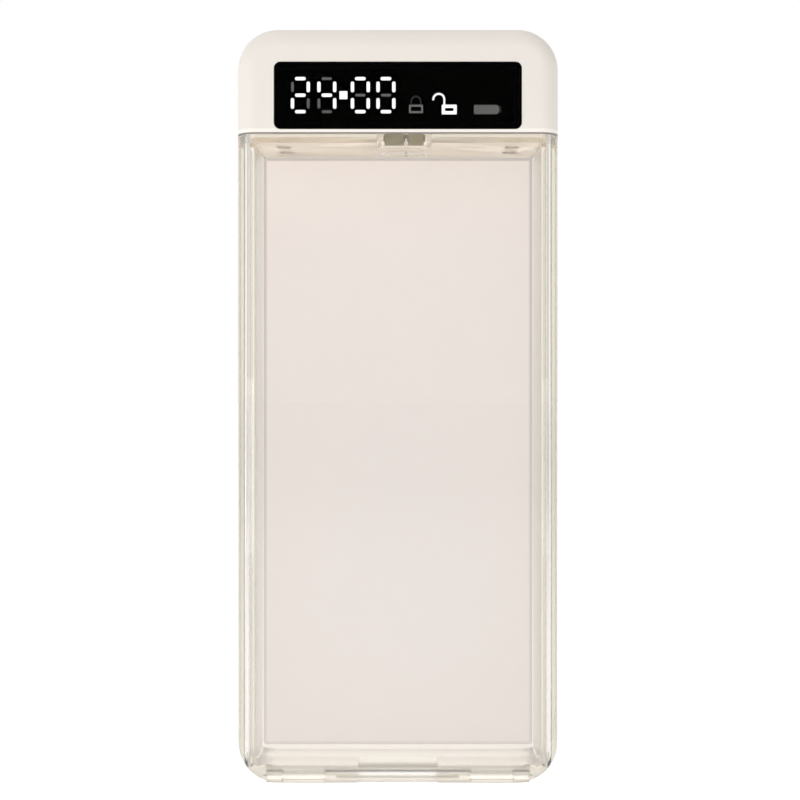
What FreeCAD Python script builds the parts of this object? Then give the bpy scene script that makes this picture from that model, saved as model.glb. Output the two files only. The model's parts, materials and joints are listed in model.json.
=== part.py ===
import FreeCAD, Part
import math
import os
import re
import Sketcher
from FreeCAD import Placement, Rotation, Vector

# Timed lock container: a clear tray with a clear lid hinged at its bottom edge, and a
# moulded head on top that holds the display, the electronics and the motor-driven bolt.
# +Z is up, the lid faces -Y, and the origin is under the middle of the box.

os.makedirs("parts", exist_ok=True)
doc = FreeCAD.newDocument("timed_lock_container")

# ---------------------------------------------------------------- driving dimensions, mm
SIZES = {
    # casing
    "case_width": 90.8,
    "case_depth": 32,
    "case_height": 213.5,
    "corner_radius": 11.5,
    "front_edge_radius": 5.5,
    "back_edge_radius": 4,
    "part_gap": 0.3,
    "seam_gap": 0.2,
    # head shells and floor
    "head_height": 30,
    "head_wall": 2,
    "front_shell_depth": 20,
    "floor_thick": 2,
    # tray
    "tray_side_wall": 5.15,
    "tray_bottom_wall": 5.5,
    "tray_back_wall": 2.2,
    "tray_top_wall": 1.5,
    "tray_top_drop": 1,
    "cavity_corner_radius": 1,
    "cable_slot_width": 22.4,
    "cable_slot_depth": 9.5,
    "liner_thick": 1,
    "liner_side_gap": 0.15,
    "liner_end_gap": 0.2,
    "liner_corner": 0.8,
    # lid and hinge
    "lid_panel": 2,
    "lid_skirt": 7,
    "lid_skirt_wall": 2.8,
    "sill_lap": 2,
    "hinge_radius": 1.8,
    "hinge_lift": 0.8,
    "hinge_end_inset": 8.4,
    "hinge_swing_gap": 1.8,
    "hinge_lug_inset": 4.5,
    "hinge_lug_width": 12.2,
    "hinge_pin_radius": 0.6,
    "pin_clearance": 0.05,
    # keeper on the lid
    "latch_offset": 1.8,
    "keeper_notch_width": 15.4,
    "keeper_notch_depth": 13.5,
    "keeper_thick": 1.6,
    "keeper_gap": 0.9,
    "keeper_reach": 9.7,
    "keeper_end_wall": 0.9,
    "keeper_rib": 0.6,
    "keeper_wall_drop": 0.5,
    # bolt
    "prong_left_width": 5.55,
    "prong_right_width": 4.5,
    "prong_gap": 1.1,
    "prong_clearance": 0.25,
    "prong_length": 8.3,
    "bolt_thick": 2.4,
    "bolt_depth": 8.1,
    "bolt_bar": 2.5,
    "stem_width": 6,
    "stem_height": 12.2,
    "bolt_travel": 3,
    "magnet_radius": 1,
    "magnet_length": 2,
    # gear train
    "gear_module": 0.5,
    "gear_addendum": 0.35,
    "gear_dedendum": 0.45,
    "gear_backlash": 0.075,
    "pinion_teeth": 12,
    "wheel_teeth": 28,
    "motor_pinion_teeth": 10,
    "wheel_thick": 1.5,
    "gear_layer_gap": 0.4,
    "gear_rise": 13,
    "axle_radius": 0.75,
    # lock frame
    "frame_foot": 1.4,
    "frame_front_plate": 1,
    "frame_rear_plate": 1.4,
    "frame_left": 5.2,
    "frame_height": 18.5,
    "frame_front_width": 17.2,
    "frame_rail": 1.9,
    "frame_screw_reach": 3,
    "frame_screw_margin": 3,
    "frame_side_margin": 1.5,
    # motor
    "motor_width": 12,
    "motor_height": 10,
    "motor_back_gap": 0.8,
    "motor_boss_radius": 2,
    "motor_boss_clearance": 0.1,
    "motor_screw_spacing": 8.4,
    "motor_screw_head_radius": 1.2,
    "motor_screw_head": 0.8,
    # display
    "window_side_margin": 10.65,
    "window_height": 18.8,
    "window_corner": 1.8,
    "window_thick": 1.2,
    "window_rise": 1.15,
    "window_clearance": 0.1,
    "window_ledge": 1.2,
    "mask_margin": 0.8,
    "mask_rise": 0.6,
    "mask_height": 19.6,
    "mask_face": 1.8,
    "mask_wall": 1.2,
    "diffuser_sheet": 0.8,
    "digit_width": 5.54,
    "digit_height": 10.4,
    "digit_stroke": 1.1,
    "segment_length": 3.1,
    "stencil_bridge": 0.3,
    "digit_centre_height": 10.8,
    "dot_width": 2.24,
    "icon_base_height": 5.4,
    "closed_lock_width": 4,
    "closed_lock_height": 2.5,
    "closed_lock_rise": 0.35,
    "closed_slot_width": 2.8,
    "closed_slot_height": 1.24,
    "closed_bow_radius": 1.5,
    "closed_bow_stroke": 0.35,
    "closed_bow_leg": 0.75,
    "open_lock_width": 4.36,
    "open_lock_height": 2.86,
    "open_slot_width": 2.5,
    "open_slot_height": 0.74,
    "open_bow_offset": 2.96,
    "open_bow_radius": 1.88,
    "open_bow_stroke": 0.73,
    "open_bow_leg": 1.43,
    "open_bow_end": 0.28,
    "gauge_width": 6.64,
    "gauge_height": 2.86,
    "gauge_tip": 1.2,
    "gauge_tip_height": 1.9,
    # boards
    "board_thick": 1,
    "board_setback": 5.7,
    "board_rise": 0.4,
    "board_height": 20,
    "board_lower_margin": 10,
    "board_wide_margin": 3.5,
    "board_wide_rise": 7.5,
    "board_screw_inset": 5.6,
    "board_boss_radius": 1.8,
    "chip_width": 7,
    "chip_thick": 1,
    "controller_offset": 21,
    "charger_offset": 11.55,
    "charger_width": 3.5,
    "sensor_width": 2.75,
    "sensor_gap": 1.05,
    "led_width": 1.6,
    "led_height": 0.8,
    "led_thick": 0.6,
    "buzzer_radius": 4.5,
    "buzzer_thick": 3.5,
    # charging socket
    "port_width": 9,
    "port_thick": 3.2,
    "port_depth": 7.4,
    "port_recess": 0.7,
    "port_wall": 0.3,
    "port_rise": 13,
    "port_clearance": 0.3,
    # battery
    "battery_width": 26,
    "battery_height": 18,
    "battery_thick": 5.5,
    "battery_gap": 1.2,
    "battery_drop": 2.2,
    "battery_corner": 1,
    "battery_tape": 0.4,
    "battery_tape_inset": 2,
    # buttons
    "button_pitch": 12.5,
    "button_width": 8.6,
    "button_depth": 4.8,
    "button_corner": 2.3,
    "button_recess": 0.2,
    "button_clearance": 0.15,
    "button_flange": 0.8,
    "button_flange_thick": 1,
    "button_setback": 12,
    "button_travel": 0.5,
    "button_rest_gap": 0.05,
    "switch_width": 4.5,
    "switch_height": 1.9,
    "plunger_radius": 1.2,
    "plunger_rise": 0.8,
    "plunger_depth": 0.7,
    "button_board_thick": 1.2,
    "button_board_width": 47,
    "button_board_depth": 10,
    "button_board_corner": 1,
    "button_board_screw_x": 21,
    # screws
    "case_screw_radius": 1.25,
    "case_screw_grip": 6,
    "case_screw_head_radius": 2.25,
    "case_screw_head": 1.8,
    "case_screw_sink": 4,
    "case_boss_radius": 2.5,
    "case_boss_rear_radius": 3.3,
    "case_pilot_depth": 8,
    "screw_clearance": 0.15,
    "lower_screw_inset": 5.6,
    "lower_screw_rise": 5.5,
    "upper_screw_inset": 14,
    "upper_screw_drop": 5.7,
    "floor_tab_thick": 2,
    "floor_tab_width": 5,
    "floor_tab_height": 7.5,
    "tray_screw_radius": 1.1,
    "tray_screw_length": 5,
    "tray_screw_head_radius": 2.1,
    "tray_screw_head": 1.6,
    "tray_screw_inset": 12.6,
    "tray_screw_spread": 10,
    "tray_screw_centre": 1,
    "tray_boss_radius": 2.2,
    "tray_boss_height": 5.8,
    "sleeve_wall": 1,
    "sleeve_rise": 4,
    "washer_thick": 0.5,
    "washer_radius": 3.2,
    "small_screw_radius": 0.8,
    "small_screw_head_radius": 1.5,
    "small_screw_head": 1,
}

sheet = doc.addObject("Spreadsheet::Sheet", "sizes")
for row, (alias, number) in enumerate(SIZES.items(), start=1):
    sheet.set(f"A{row}", alias)
    sheet.set(f"B{row}", str(number))
    sheet.setAlias(f"B{row}", alias)
doc.recompute()

# Places that several pieces share, worked out from the sheet.
FRONT = "(-case_depth / 2)"
BACK = "(case_depth / 2)"
RIM = "(case_height - head_height)"
HEAD_FRONT_IN = f"({FRONT} + head_wall)"
HEAD_BACK_IN = f"({BACK} - head_wall)"
HEAD_TOP_IN = "(case_height - head_wall)"
SPLIT = f"({FRONT} + front_shell_depth)"
TRAY_LEDGE = f"({RIM} - tray_top_drop)"
CEILING = f"({TRAY_LEDGE} - tray_top_wall)"
FLOOR_TOP = f"({TRAY_LEDGE} + floor_thick)"
CAVITY_HALF = "(case_width / 2 - tray_side_wall)"
CAVITY_BACK = f"({BACK} - tray_back_wall)"
LID_IN = f"({FRONT} + lid_panel)"
LID_HALF_IN = "(case_width / 2 - lid_skirt_wall)"
PARTING = f"({FRONT} + lid_skirt)"
HINGE_Y = f"({FRONT} + hinge_radius)"
HINGE_Z = "(hinge_lift + hinge_radius)"
SILL_FRONT = f"({HINGE_Y} + hinge_radius + part_gap)"
WINDOW_LOW = f"({RIM} + window_rise)"
WINDOW_MID = f"({WINDOW_LOW} + window_height / 2)"
BOARD_FRONT = f"({FRONT} + board_setback)"
BOARD_BACK = f"({BOARD_FRONT} + board_thick)"
BOARD_LOW = f"({FLOOR_TOP} + board_rise)"
BOARD_TOP = f"({BOARD_LOW} + board_height)"
BOLT_FRONT = f"({FRONT} + bolt_depth)"
BOLT_BACK = f"({BOLT_FRONT} + bolt_thick)"
FOOT_TOP = f"({FLOOR_TOP} + frame_foot)"
PRONGS_WIDTH = "(prong_left_width + prong_gap + prong_right_width)"
PRONGS_LEFT = f"(latch_offset - {PRONGS_WIDTH} / 2)"
PRONGS_RIGHT = f"(latch_offset + {PRONGS_WIDTH} / 2)"
BAR_LOW = f"({CEILING} + prong_length)"
STEM_RIGHT = "(latch_offset + stem_width / 2)"
GEAR_X = f"({STEM_RIGHT} + gear_dedendum + gear_module * pinion_teeth / 2)"
GEAR_Z = f"({RIM} + gear_rise)"
MOTOR_X = f"({GEAR_X} + gear_module * (wheel_teeth + motor_pinion_teeth) / 2)"
WHEEL_FRONT = f"({BOLT_BACK} + gear_layer_gap)"
WHEEL_BACK = f"({WHEEL_FRONT} + wheel_thick)"
REAR_PLATE_FRONT = f"({WHEEL_BACK} + gear_layer_gap)"
REAR_PLATE_BACK = f"({REAR_PLATE_FRONT} + frame_rear_plate)"
FRONT_PLATE_BACK = f"({BOLT_FRONT} - part_gap)"
FRONT_PLATE_FRONT = f"({FRONT_PLATE_BACK} - frame_front_plate)"
BUTTON_Y = f"({FRONT} + button_setback)"
FLANGE_TOP = f"({HEAD_TOP_IN} - button_rest_gap)"
FLANGE_LOW = f"({FLANGE_TOP} - button_flange_thick)"
SWITCH_TOP = f"({FLANGE_LOW} - plunger_rise)"
BUTTON_BOARD_TOP = f"({SWITCH_TOP} - switch_height)"
BUTTON_BOARD_LOW = f"({BUTTON_BOARD_TOP} - button_board_thick)"
LOWER_SCREW_Z = f"({RIM} + lower_screw_rise)"
UPPER_SCREW_Z = "(case_height - upper_screw_drop)"
SLEEVE_TOP = f"({FLOOR_TOP} + sleeve_rise)"
PORT_Z = f"({RIM} + port_rise)"
HINGE_HALF = "(case_width / 2 - hinge_end_inset)"
LUG_END = f"({HINGE_HALF} - hinge_lug_inset)"
LUG_START = f"({LUG_END} - hinge_lug_width)"
PIN_START = f"({LUG_START} - 5 * hinge_pin_radius)"
WINDOW_WIDTH = "(case_width - 2 * window_side_margin)"
BOARD_LOWER_HALF = "(case_width / 2 - board_lower_margin)"
BOARD_WIDE_HALF = "(case_width / 2 - board_wide_margin)"
BOARD_SCREW_X = "(case_width / 2 - board_screw_inset)"
LOWER_SCREW_X = "(case_width / 2 - lower_screw_inset)"
UPPER_SCREW_X = "(case_width / 2 - upper_screw_inset)"
TRAY_SCREW_X = "(case_width / 2 - tray_screw_inset)"

# How far a cutting form runs past what it cuts, or a joined one into what it joins
PAST = 1
SIDES = (("left", -1), ("right", 1))
BUTTONS = (("hour_button", -1), ("minute_button", 0), ("lock_button", 1))
NODES = {}


# ---------------------------------------------------------------- helpers
def value(alias):
    """A driving dimension, read back from the sheet."""
    return float(sheet.get(alias))


def bound(text):
    """Turn the aliases in an expression into references to the sheet."""
    return re.sub(r"[a-z][a-z_]*", lambda word: "sizes." + word.group(0), str(text))


def bind(item, **expressions):
    """Bind properties to expressions; an underscore pair stands for a dot."""
    for name, text in expressions.items():
        item.setExpression(name.replace("__", "."), bound(text))


def place(item, x="0", y="0", z="0"):
    """Bind an object's position."""
    bind(item, Placement__Base__x=x, Placement__Base__y=y, Placement__Base__z=z)


def block(name, x, y, z):
    """A box between pairs of low and high expressions."""
    item = doc.addObject("Part::Box", name)
    bind(item, Length=f"{x[1]} - ({x[0]})")
    bind(item, Width=f"{y[1]} - ({y[0]})")
    bind(item, Height=f"{z[1]} - ({z[0]})")
    place(item, x[0], y[0], z[0])
    return item


def rod(name, axis, radius, low, high, across):
    """A cylinder from low to high along an axis, at across = its two other coordinates."""
    item = doc.addObject("Part::Cylinder", name)
    bind(item, Radius=radius, Height=f"{high} - ({low})")
    if axis == "x":
        item.Placement = Placement(Vector(), Rotation(Vector(0, 1, 0), 90))
        place(item, low, across[0], across[1])
    elif axis == "y":
        item.Placement = Placement(Vector(), Rotation(Vector(1, 0, 0), -90))
        place(item, across[0], low, across[1])
    else:
        place(item, across[0], across[1], low)
    return item


def join(name, *items):
    """One solid from overlapping or touching ones."""
    item = doc.addObject("Part::MultiFuse", name)
    item.Shapes = list(items)
    item.Refine = True
    return item


def cut(name, base, *tools):
    """The base without the tools."""
    item = doc.addObject("Part::Cut", name)
    item.Base = base
    item.Tool = tools[0] if len(tools) == 1 else join(name + "_tools", *tools)
    item.Refine = True
    return item


def overlap(name, *items):
    """What all the items share."""
    item = doc.addObject("Part::MultiCommon", name)
    item.Shapes = list(items)
    return item


def group(name, *items):
    """Separate solids kept in one node."""
    item = doc.addObject("Part::Compound", name)
    item.Links = list(items)
    return item


def mirrored(sign, low, high):
    """The span low..high on the right, or its mirror image on the left."""
    return (low, high) if sign > 0 else (f"-({high})", f"-({low})")


def node(name, item):
    """Register a finished sub-part under its node name."""
    item.Label = name
    NODES[name] = item
    return item


def solid(name, shape):
    """A sub-part whose shape is made in code from the sheet's values."""
    item = doc.addObject("Part::Feature", name)
    item.Shape = shape
    return item


def round_edges(name, base, chooser, radius):
    """Round the edges that chooser picks from the base, all with one radius."""
    doc.recompute()
    item = doc.addObject("Part::Fillet", name)
    item.Base = base
    chosen = [index for index, edge in enumerate(base.Shape.Edges, start=1) if chooser(edge)]
    item.Edges = [(index, radius, radius) for index in chosen]
    return item


def depth_edge(edge, low, high):
    """Whether an edge runs along Y at a height between low and high."""
    box = edge.BoundBox
    straight = box.XLength < 1e-6 and box.ZLength < 1e-6
    return straight and low <= box.ZMin <= high


def face_edge(edge, y, open_z):
    """Whether an edge lies in the plane at y and not in the open end at open_z."""
    box = edge.BoundBox
    in_plane = abs(box.YMin - y) < 1e-6 and abs(box.YMax - y) < 1e-6
    in_open_end = abs(box.ZMin - open_z) < 1e-6 and abs(box.ZMax - open_z) < 1e-6
    return in_plane and not in_open_end


def soft_block(name, x, y, z, corner, front, back, rounded="both"):
    """A box with its front-view corners and its front and back outline edges rounded.

    rounded says which corners are round: both, the top ones or the bottom ones. The end
    without round corners stays open, with no rounding along it.
    """
    box = block(name + "_block", x, y, z)
    doc.recompute()
    bounds = box.Shape.BoundBox
    middle = bounds.Center.z
    low = middle if rounded == "top" else bounds.ZMin
    high = middle if rounded == "bottom" else bounds.ZMax
    open_z = {"both": math.inf, "top": bounds.ZMin, "bottom": bounds.ZMax}[rounded]
    item = round_edges(name + "_outline", box, lambda edge: depth_edge(edge, low, high), corner)
    if front > 0:
        item = round_edges(
            name + "_front", item, lambda edge: face_edge(edge, bounds.YMin, open_z), front
        )
    if back > 0:
        item = round_edges(
            name + "_back", item, lambda edge: face_edge(edge, bounds.YMax, open_z), back
        )
    return item


def upright_edge(edge, y):
    """Whether an edge is a straight upright one in the plane at y."""
    bounds = edge.BoundBox
    upright = bounds.XLength < 1e-6 and bounds.YLength < 1e-6
    return upright and abs(bounds.YMin - y) < 1e-6


def soft_plan(name, x, y, z, front, back):
    """A box with its upright edges rounded, the front pair and the back pair apart."""
    item = block(name + "_block", x, y, z)
    doc.recompute()
    bounds = item.Shape.BoundBox
    for end, at_y, radius in (("front", bounds.YMin, front), ("back", bounds.YMax, back)):
        if radius > 0:
            item = round_edges(f"{name}_{end}", item, lambda edge: upright_edge(edge, at_y), radius)
    return item


def plate_sketch(body, name, plane, width, height, corner, offset):
    """A rounded rectangle about the sketch's origin, bound to the sheet."""
    sketch = body.newObject("Sketcher::SketchObject", name)
    support = next(item for item in body.Origin.OriginFeatures if item.Role == plane)
    sketch.AttachmentSupport = [(support, "")]
    sketch.MapMode = "FlatFace"
    for axis, text in zip("xyz", offset):
        sketch.setExpression("AttachmentOffset.Base." + axis, bound(text))
    half = Vector(4, 3, 0)
    radius = 1
    inner = half - Vector(radius, radius, 0)
    ends = (
        (Vector(-inner.x, -half.y), Vector(inner.x, -half.y)),
        (Vector(half.x, -inner.y), Vector(half.x, inner.y)),
        (Vector(inner.x, half.y), Vector(-inner.x, half.y)),
        (Vector(-half.x, inner.y), Vector(-half.x, -inner.y)),
    )
    centres = (
        Vector(inner.x, -inner.y),
        Vector(inner.x, inner.y),
        Vector(-inner.x, inner.y),
        Vector(-inner.x, -inner.y),
    )
    for start, end in ends:
        sketch.addGeometry(Part.LineSegment(start, end), False)
    for turn, centre in enumerate(centres):
        start_angle = math.radians(90 * turn - 90)
        circle = Part.Circle(centre, Vector(0, 0, 1), radius)
        arc = Part.ArcOfCircle(circle, start_angle, start_angle + math.pi / 2)
        sketch.addGeometry(arc, False)
    for line in range(4):
        arc = line + 4
        sketch.addConstraint(Sketcher.Constraint("Tangent", line, 2, arc, 1))
        sketch.addConstraint(Sketcher.Constraint("Tangent", arc, 2, (line + 1) % 4, 1))
        direction = "Vertical" if line % 2 else "Horizontal"
        sketch.addConstraint(Sketcher.Constraint(direction, line))
    for arc in (5, 6, 7):
        sketch.addConstraint(Sketcher.Constraint("Equal", 4, arc))
    sketch.addConstraint(Sketcher.Constraint("Symmetric", 4, 3, 6, 3, -1, 1))
    driven = (
        (Sketcher.Constraint("Radius", 4, radius), corner),
        (Sketcher.Constraint("DistanceX", 3, 1, 1, 1, 2 * half.x), width),
        (Sketcher.Constraint("DistanceY", 0, 1, 2, 1, 2 * half.y), height),
    )
    for constraint, text in driven:
        index = sketch.addConstraint(constraint)
        sketch.setExpression(f"Constraints[{index}]", bound(text))
    return sketch


def front_plate(name, x_mid, z_mid, width, height, corner, front, thick):
    """A plate facing -Y: a sketched rounded rectangle, padded forwards from its back."""
    body = doc.addObject("PartDesign::Body", name)
    offset = (x_mid, z_mid, f"-({front} + {thick})")
    sketch = plate_sketch(body, name + "_sketch", "XZ_Plane", width, height, corner, offset)
    pad = body.newObject("PartDesign::Pad", name + "_pad")
    pad.Profile = sketch
    bind(pad, Length=thick)
    return body


def flat_plate(name, x_mid, y_mid, width, depth, corner, low, thick):
    """A plate lying flat: a sketched rounded rectangle, padded upwards."""
    body = doc.addObject("PartDesign::Body", name)
    offset = (x_mid, y_mid, low)
    sketch = plate_sketch(body, name + "_sketch", "XY_Plane", width, depth, corner, offset)
    pad = body.newObject("PartDesign::Pad", name + "_pad")
    pad.Profile = sketch
    bind(pad, Length=thick)
    return body


# A cross recess, as shares of the screw head's radius and height
RECESS_REACH = 0.6
RECESS_HALF_WIDTH = 0.14
RECESS_FLOOR = 0.45


def screw(name, axis, sign, seat, across, radius, length, head_radius, head):
    """A pan-head screw with a cross recess; the shank points along sign on the axis."""
    def span(start, end):
        """Low and high ends of a stretch measured from the seat towards the tip."""
        ends = [f"{seat} + {sign} * ({start})", f"{seat} + {sign} * ({end})"]
        return ends if sign > 0 else ends[::-1]

    shank = rod(name + "_shank", axis, radius, *span("0", length), across)
    cap = rod(name + "_cap", axis, head_radius, *span(f"-({head})", "0"), across)
    slots = []
    for turn in range(2):
        half = (f"{head_radius} * {RECESS_REACH}", f"{head_radius} * {RECESS_HALF_WIDTH}")
        first, second = half if turn == 0 else half[::-1]
        wide = (f"{across[0]} - {first}", f"{across[0]} + {first}")
        tall = (f"{across[1]} - {second}", f"{across[1]} + {second}")
        deep = span(f"-({head})", f"-({head}) * {RECESS_FLOOR}")
        spans = {"x": (deep, wide, tall), "y": (wide, deep, tall), "z": (wide, tall, deep)}[axis]
        slots.append(block(f"{name}_slot_{turn}", *spans))
    return cut(name, join(name + "_body", shank, cap), *slots)


PRESSURE_ANGLE = math.radians(20)
FLANK_STEPS = 5


def spur(teeth, thick, towards, shows_gap):
    """A spur gear from y = 0 to y = thick about the Y axis.

    towards is the angle from +X at which its neighbour lies; a gap or a tooth is centred
    there.
    """
    pitch = value("gear_module") * teeth / 2
    base = pitch * math.cos(PRESSURE_ANGLE)
    tip = pitch + value("gear_addendum")
    root = pitch - value("gear_dedendum")
    rolled = math.tan(PRESSURE_ANGLE) - PRESSURE_ANGLE
    half_tooth = math.pi / (2 * teeth) - value("gear_backlash") / 2 / pitch + rolled

    def flank(radius):
        """Half angle of the tooth at a radius, from the involute of the base circle."""
        if radius <= base:
            return half_tooth
        press = math.acos(base / radius)
        return half_tooth - (math.tan(press) - press)

    steps = [root + (tip - root) * step / FLANK_STEPS for step in range(FLANK_STEPS + 1)]
    first = math.radians(towards) + (math.pi / teeth if shows_gap else 0)
    corners = []
    for tooth in range(teeth):
        middle = first + 2 * math.pi * tooth / teeth
        outline = [(radius, middle - flank(radius)) for radius in steps]
        outline += [(radius, middle + flank(radius)) for radius in reversed(steps)]
        corners += [Vector(radius * math.cos(turn), 0, radius * math.sin(turn)) for radius, turn in outline]
    face = Part.Face(Part.makePolygon(corners + corners[:1]))
    return face.extrude(Vector(0, thick, 0))


# ---------------------------------------------------------------- shared forms
casing_form = soft_block(
    "Casing_form",
    ("-case_width / 2", "case_width / 2"),
    (FRONT, BACK),
    ("0", "case_height"),
    value("corner_radius"),
    value("front_edge_radius"),
    value("back_edge_radius"),
)
ALL_X = ("-case_width", "case_width")
ALL_Y = ("-case_depth", "case_depth")
outline_form = soft_block(
    "Outline_form",
    ("-case_width / 2", "case_width / 2"),
    ALL_Y,
    ("0", "case_height"),
    value("corner_radius"),
    0,
    0,
)


# ---------------------------------------------------------------- clear tray
def make_tray():
    """Clear tray: back, side and bottom walls, the shelf under the head, and hinge lugs."""
    tall = ("0", f"{RIM} - seam_gap")
    behind_lid = block("Tray_behind_lid", ALL_X, (f"{PARTING} + part_gap", BACK), tall)
    half = f"({LID_HALF_IN} - part_gap)"
    tongue = soft_plan(
        "Tray_tongue",
        (f"-{half}", half),
        (f"{LID_IN} + part_gap", BACK),
        tall,
        value("front_edge_radius") - value("lid_skirt_wall") - value("part_gap"),
        0,
    )
    walls = overlap("Tray_walls", casing_form, join("Tray_zone", behind_lid, tongue))
    cavity = soft_block(
        "Tray_cavity",
        (f"-{CAVITY_HALF}", CAVITY_HALF),
        (f"{FRONT} - {PAST}", CAVITY_BACK),
        ("tray_bottom_wall", CEILING),
        value("cavity_corner_radius"),
        0,
        0,
    )
    floor_seat = soft_plan(
        "Tray_floor_seat",
        (f"-{LID_HALF_IN}", LID_HALF_IN),
        (f"{FRONT} - {PAST}", HEAD_BACK_IN),
        (TRAY_LEDGE, "case_height"),
        0,
        value("back_edge_radius") - value("head_wall") + value("part_gap"),
    )
    relief_half = f"({HINGE_HALF} + hinge_swing_gap)"
    foot_relief = block(
        "Tray_foot_relief",
        (f"-{relief_half}", relief_half),
        (FRONT, SILL_FRONT),
        (f"-{PAST}", f"tray_bottom_wall + {PAST}"),
    )
    shell = cut("Tray_shell", walls, cavity, floor_seat, foot_relief)
    additions, holes = hinge_lugs()
    sill = block(
        "Tray_sill",
        (f"-{HINGE_HALF}", HINGE_HALF),
        (SILL_FRONT, f"{PARTING} + sill_lap"),
        ("0", "tray_bottom_wall"),
    )
    additions.append(overlap("Tray_sill_outline", sill, outline_form))
    for index, across in enumerate(tray_screw_places()):
        top = f"{TRAY_LEDGE} + tray_boss_height"
        additions.append(rod(f"Tray_boss_{index}", "z", "tray_boss_radius", CEILING, top, across))
        pilot_low = f"{SLEEVE_TOP} + washer_thick - tray_screw_length"
        holes.append(rod(f"Tray_pilot_{index}", "z", "tray_screw_radius", pilot_low, top, across))
    notch = block(
        "Keeper_notch",
        ("latch_offset - keeper_notch_width / 2", "latch_offset + keeper_notch_width / 2"),
        (FRONT, f"{LID_IN} + part_gap + keeper_notch_depth"),
        (f"{CEILING} - {PAST}", f"{TRAY_LEDGE} + {PAST}"),
    )
    cable_slot = block(
        "Cable_slot",
        ("-cable_slot_width / 2", "cable_slot_width / 2"),
        (f"{SILL_FRONT} - {PAST}", f"{SILL_FRONT} + cable_slot_depth"),
        (f"-{PAST}", f"tray_bottom_wall + {PAST}"),
    )
    body = join("Tray_body", shell, *additions)
    node("clear_tray", cut("Tray", body, notch, cable_slot, *holes))


def hinge_lugs():
    """The tray's two hinge lugs with their roots, and the holes the pins run in."""
    lugs = []
    holes = []
    across = (HINGE_Y, HINGE_Z)
    for side, sign in SIDES:
        span = mirrored(sign, f"{LUG_START} + part_gap", f"{LUG_END} - part_gap")
        lugs.append(rod(f"Lug_{side}", "x", "hinge_radius", *span, across))
        root_deep = (HINGE_Y, f"{SILL_FRONT} + {PAST}")
        root_tall = ("hinge_lift", f"{HINGE_Z} + hinge_radius")
        lugs.append(block(f"Lug_root_{side}", span, root_deep, root_tall))
        holes.append(rod(f"Lug_hole_{side}", "x", "hinge_pin_radius + pin_clearance", *span, across))
    return lugs, holes


def tray_screw_places():
    """Where the four screws that hold the tray to the head's floor stand."""
    places = []
    for _, sign in SIDES:
        for way in (-1, 1):
            places.append((f"{sign} * {TRAY_SCREW_X}", f"tray_screw_centre + {way} * tray_screw_spread / 2"))
    return places


def make_liner():
    """Soft liner bonded to the tray's back wall."""
    half = f"({CAVITY_HALF} - liner_side_gap)"
    low = "(tray_bottom_wall + liner_end_gap)"
    high = f"({CEILING} - liner_end_gap)"
    liner = front_plate(
        "Liner_pad",
        "0",
        f"({low} + {high}) / 2",
        f"2 * {half}",
        f"{high} - {low}",
        "liner_corner",
        f"({CAVITY_BACK} - liner_thick)",
        "liner_thick",
    )
    node("liner_pad", liner)


# ---------------------------------------------------------------- clear lid
def make_lid():
    """Clear lid: a panel with side skirts, a hinge barrel along its foot and a keeper on top."""
    outside = overlap(
        "Lid_outside",
        casing_form,
        block("Lid_zone", ALL_X, (FRONT, PARTING), ("0", f"{RIM} - part_gap")),
    )
    inside = soft_plan(
        "Lid_inside",
        (f"-{LID_HALF_IN}", LID_HALF_IN),
        (LID_IN, BACK),
        (f"-{PAST}", "case_height"),
        value("front_edge_radius") - value("lid_skirt_wall"),
        0,
    )
    span = (f"-{HINGE_HALF}", HINGE_HALF)
    foot_gap = block("Lid_foot_gap", span, (FRONT, BACK), (f"-{PAST}", "front_edge_radius"))
    upper = cut("Lid_upper", outside, inside, foot_gap)
    foot_tall = (HINGE_Z, "front_edge_radius + part_gap")
    panel_foot = block("Lid_panel_foot", span, (FRONT, LID_IN), foot_tall)
    barrel = rod("Lid_barrel", "x", "hinge_radius", *span, (HINGE_Y, HINGE_Z))
    foot = overlap("Lid_foot", join("Lid_foot_body", panel_foot, barrel), outline_form)
    holes = [keeper_window()]
    for side, sign in SIDES:
        gap = mirrored(sign, LUG_START, LUG_END)
        notch_tall = (f"-{PAST}", f"{HINGE_Z} + hinge_radius + part_gap")
        holes.append(block(f"Hinge_notch_{side}", gap, (f"{FRONT} - {PAST}", PARTING), notch_tall))
        bore = mirrored(sign, PIN_START, f"{HINGE_HALF} + {PAST}")
        holes.append(rod(f"Pin_bore_{side}", "x", "hinge_pin_radius", *bore, (HINGE_Y, HINGE_Z)))
    node("clear_lid", cut("Lid", join("Lid_body", upper, foot, *keeper_pieces()), *holes))


KEEPER_TOP = f"({CEILING} - keeper_gap)"
KEEPER_BACK = f"({LID_IN} + keeper_reach)"
KEEPER_HALF = "(keeper_notch_width / 2 - part_gap)"


def keeper_pieces():
    """The keeper's shelf, its two end walls and the rib between the prongs."""
    low = f"({KEEPER_TOP} - keeper_thick)"
    wall_top = f"({TRAY_LEDGE} - keeper_wall_drop)"
    deep = (f"{LID_IN} - lid_panel / 2", KEEPER_BACK)
    whole = (f"latch_offset - {KEEPER_HALF}", f"latch_offset + {KEEPER_HALF}")
    rib_left = f"({PRONGS_LEFT} + prong_left_width + prong_clearance)"
    return (
        block("Keeper_shelf", whole, deep, (low, KEEPER_TOP)),
        block("Keeper_end_left", (whole[0], f"{whole[0]} + keeper_end_wall"), deep, (low, wall_top)),
        block("Keeper_end_right", (f"{whole[1]} - keeper_end_wall", whole[1]), deep, (low, wall_top)),
        block("Keeper_rib", (rib_left, f"{rib_left} + keeper_rib"), deep, (low, wall_top)),
    )


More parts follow.
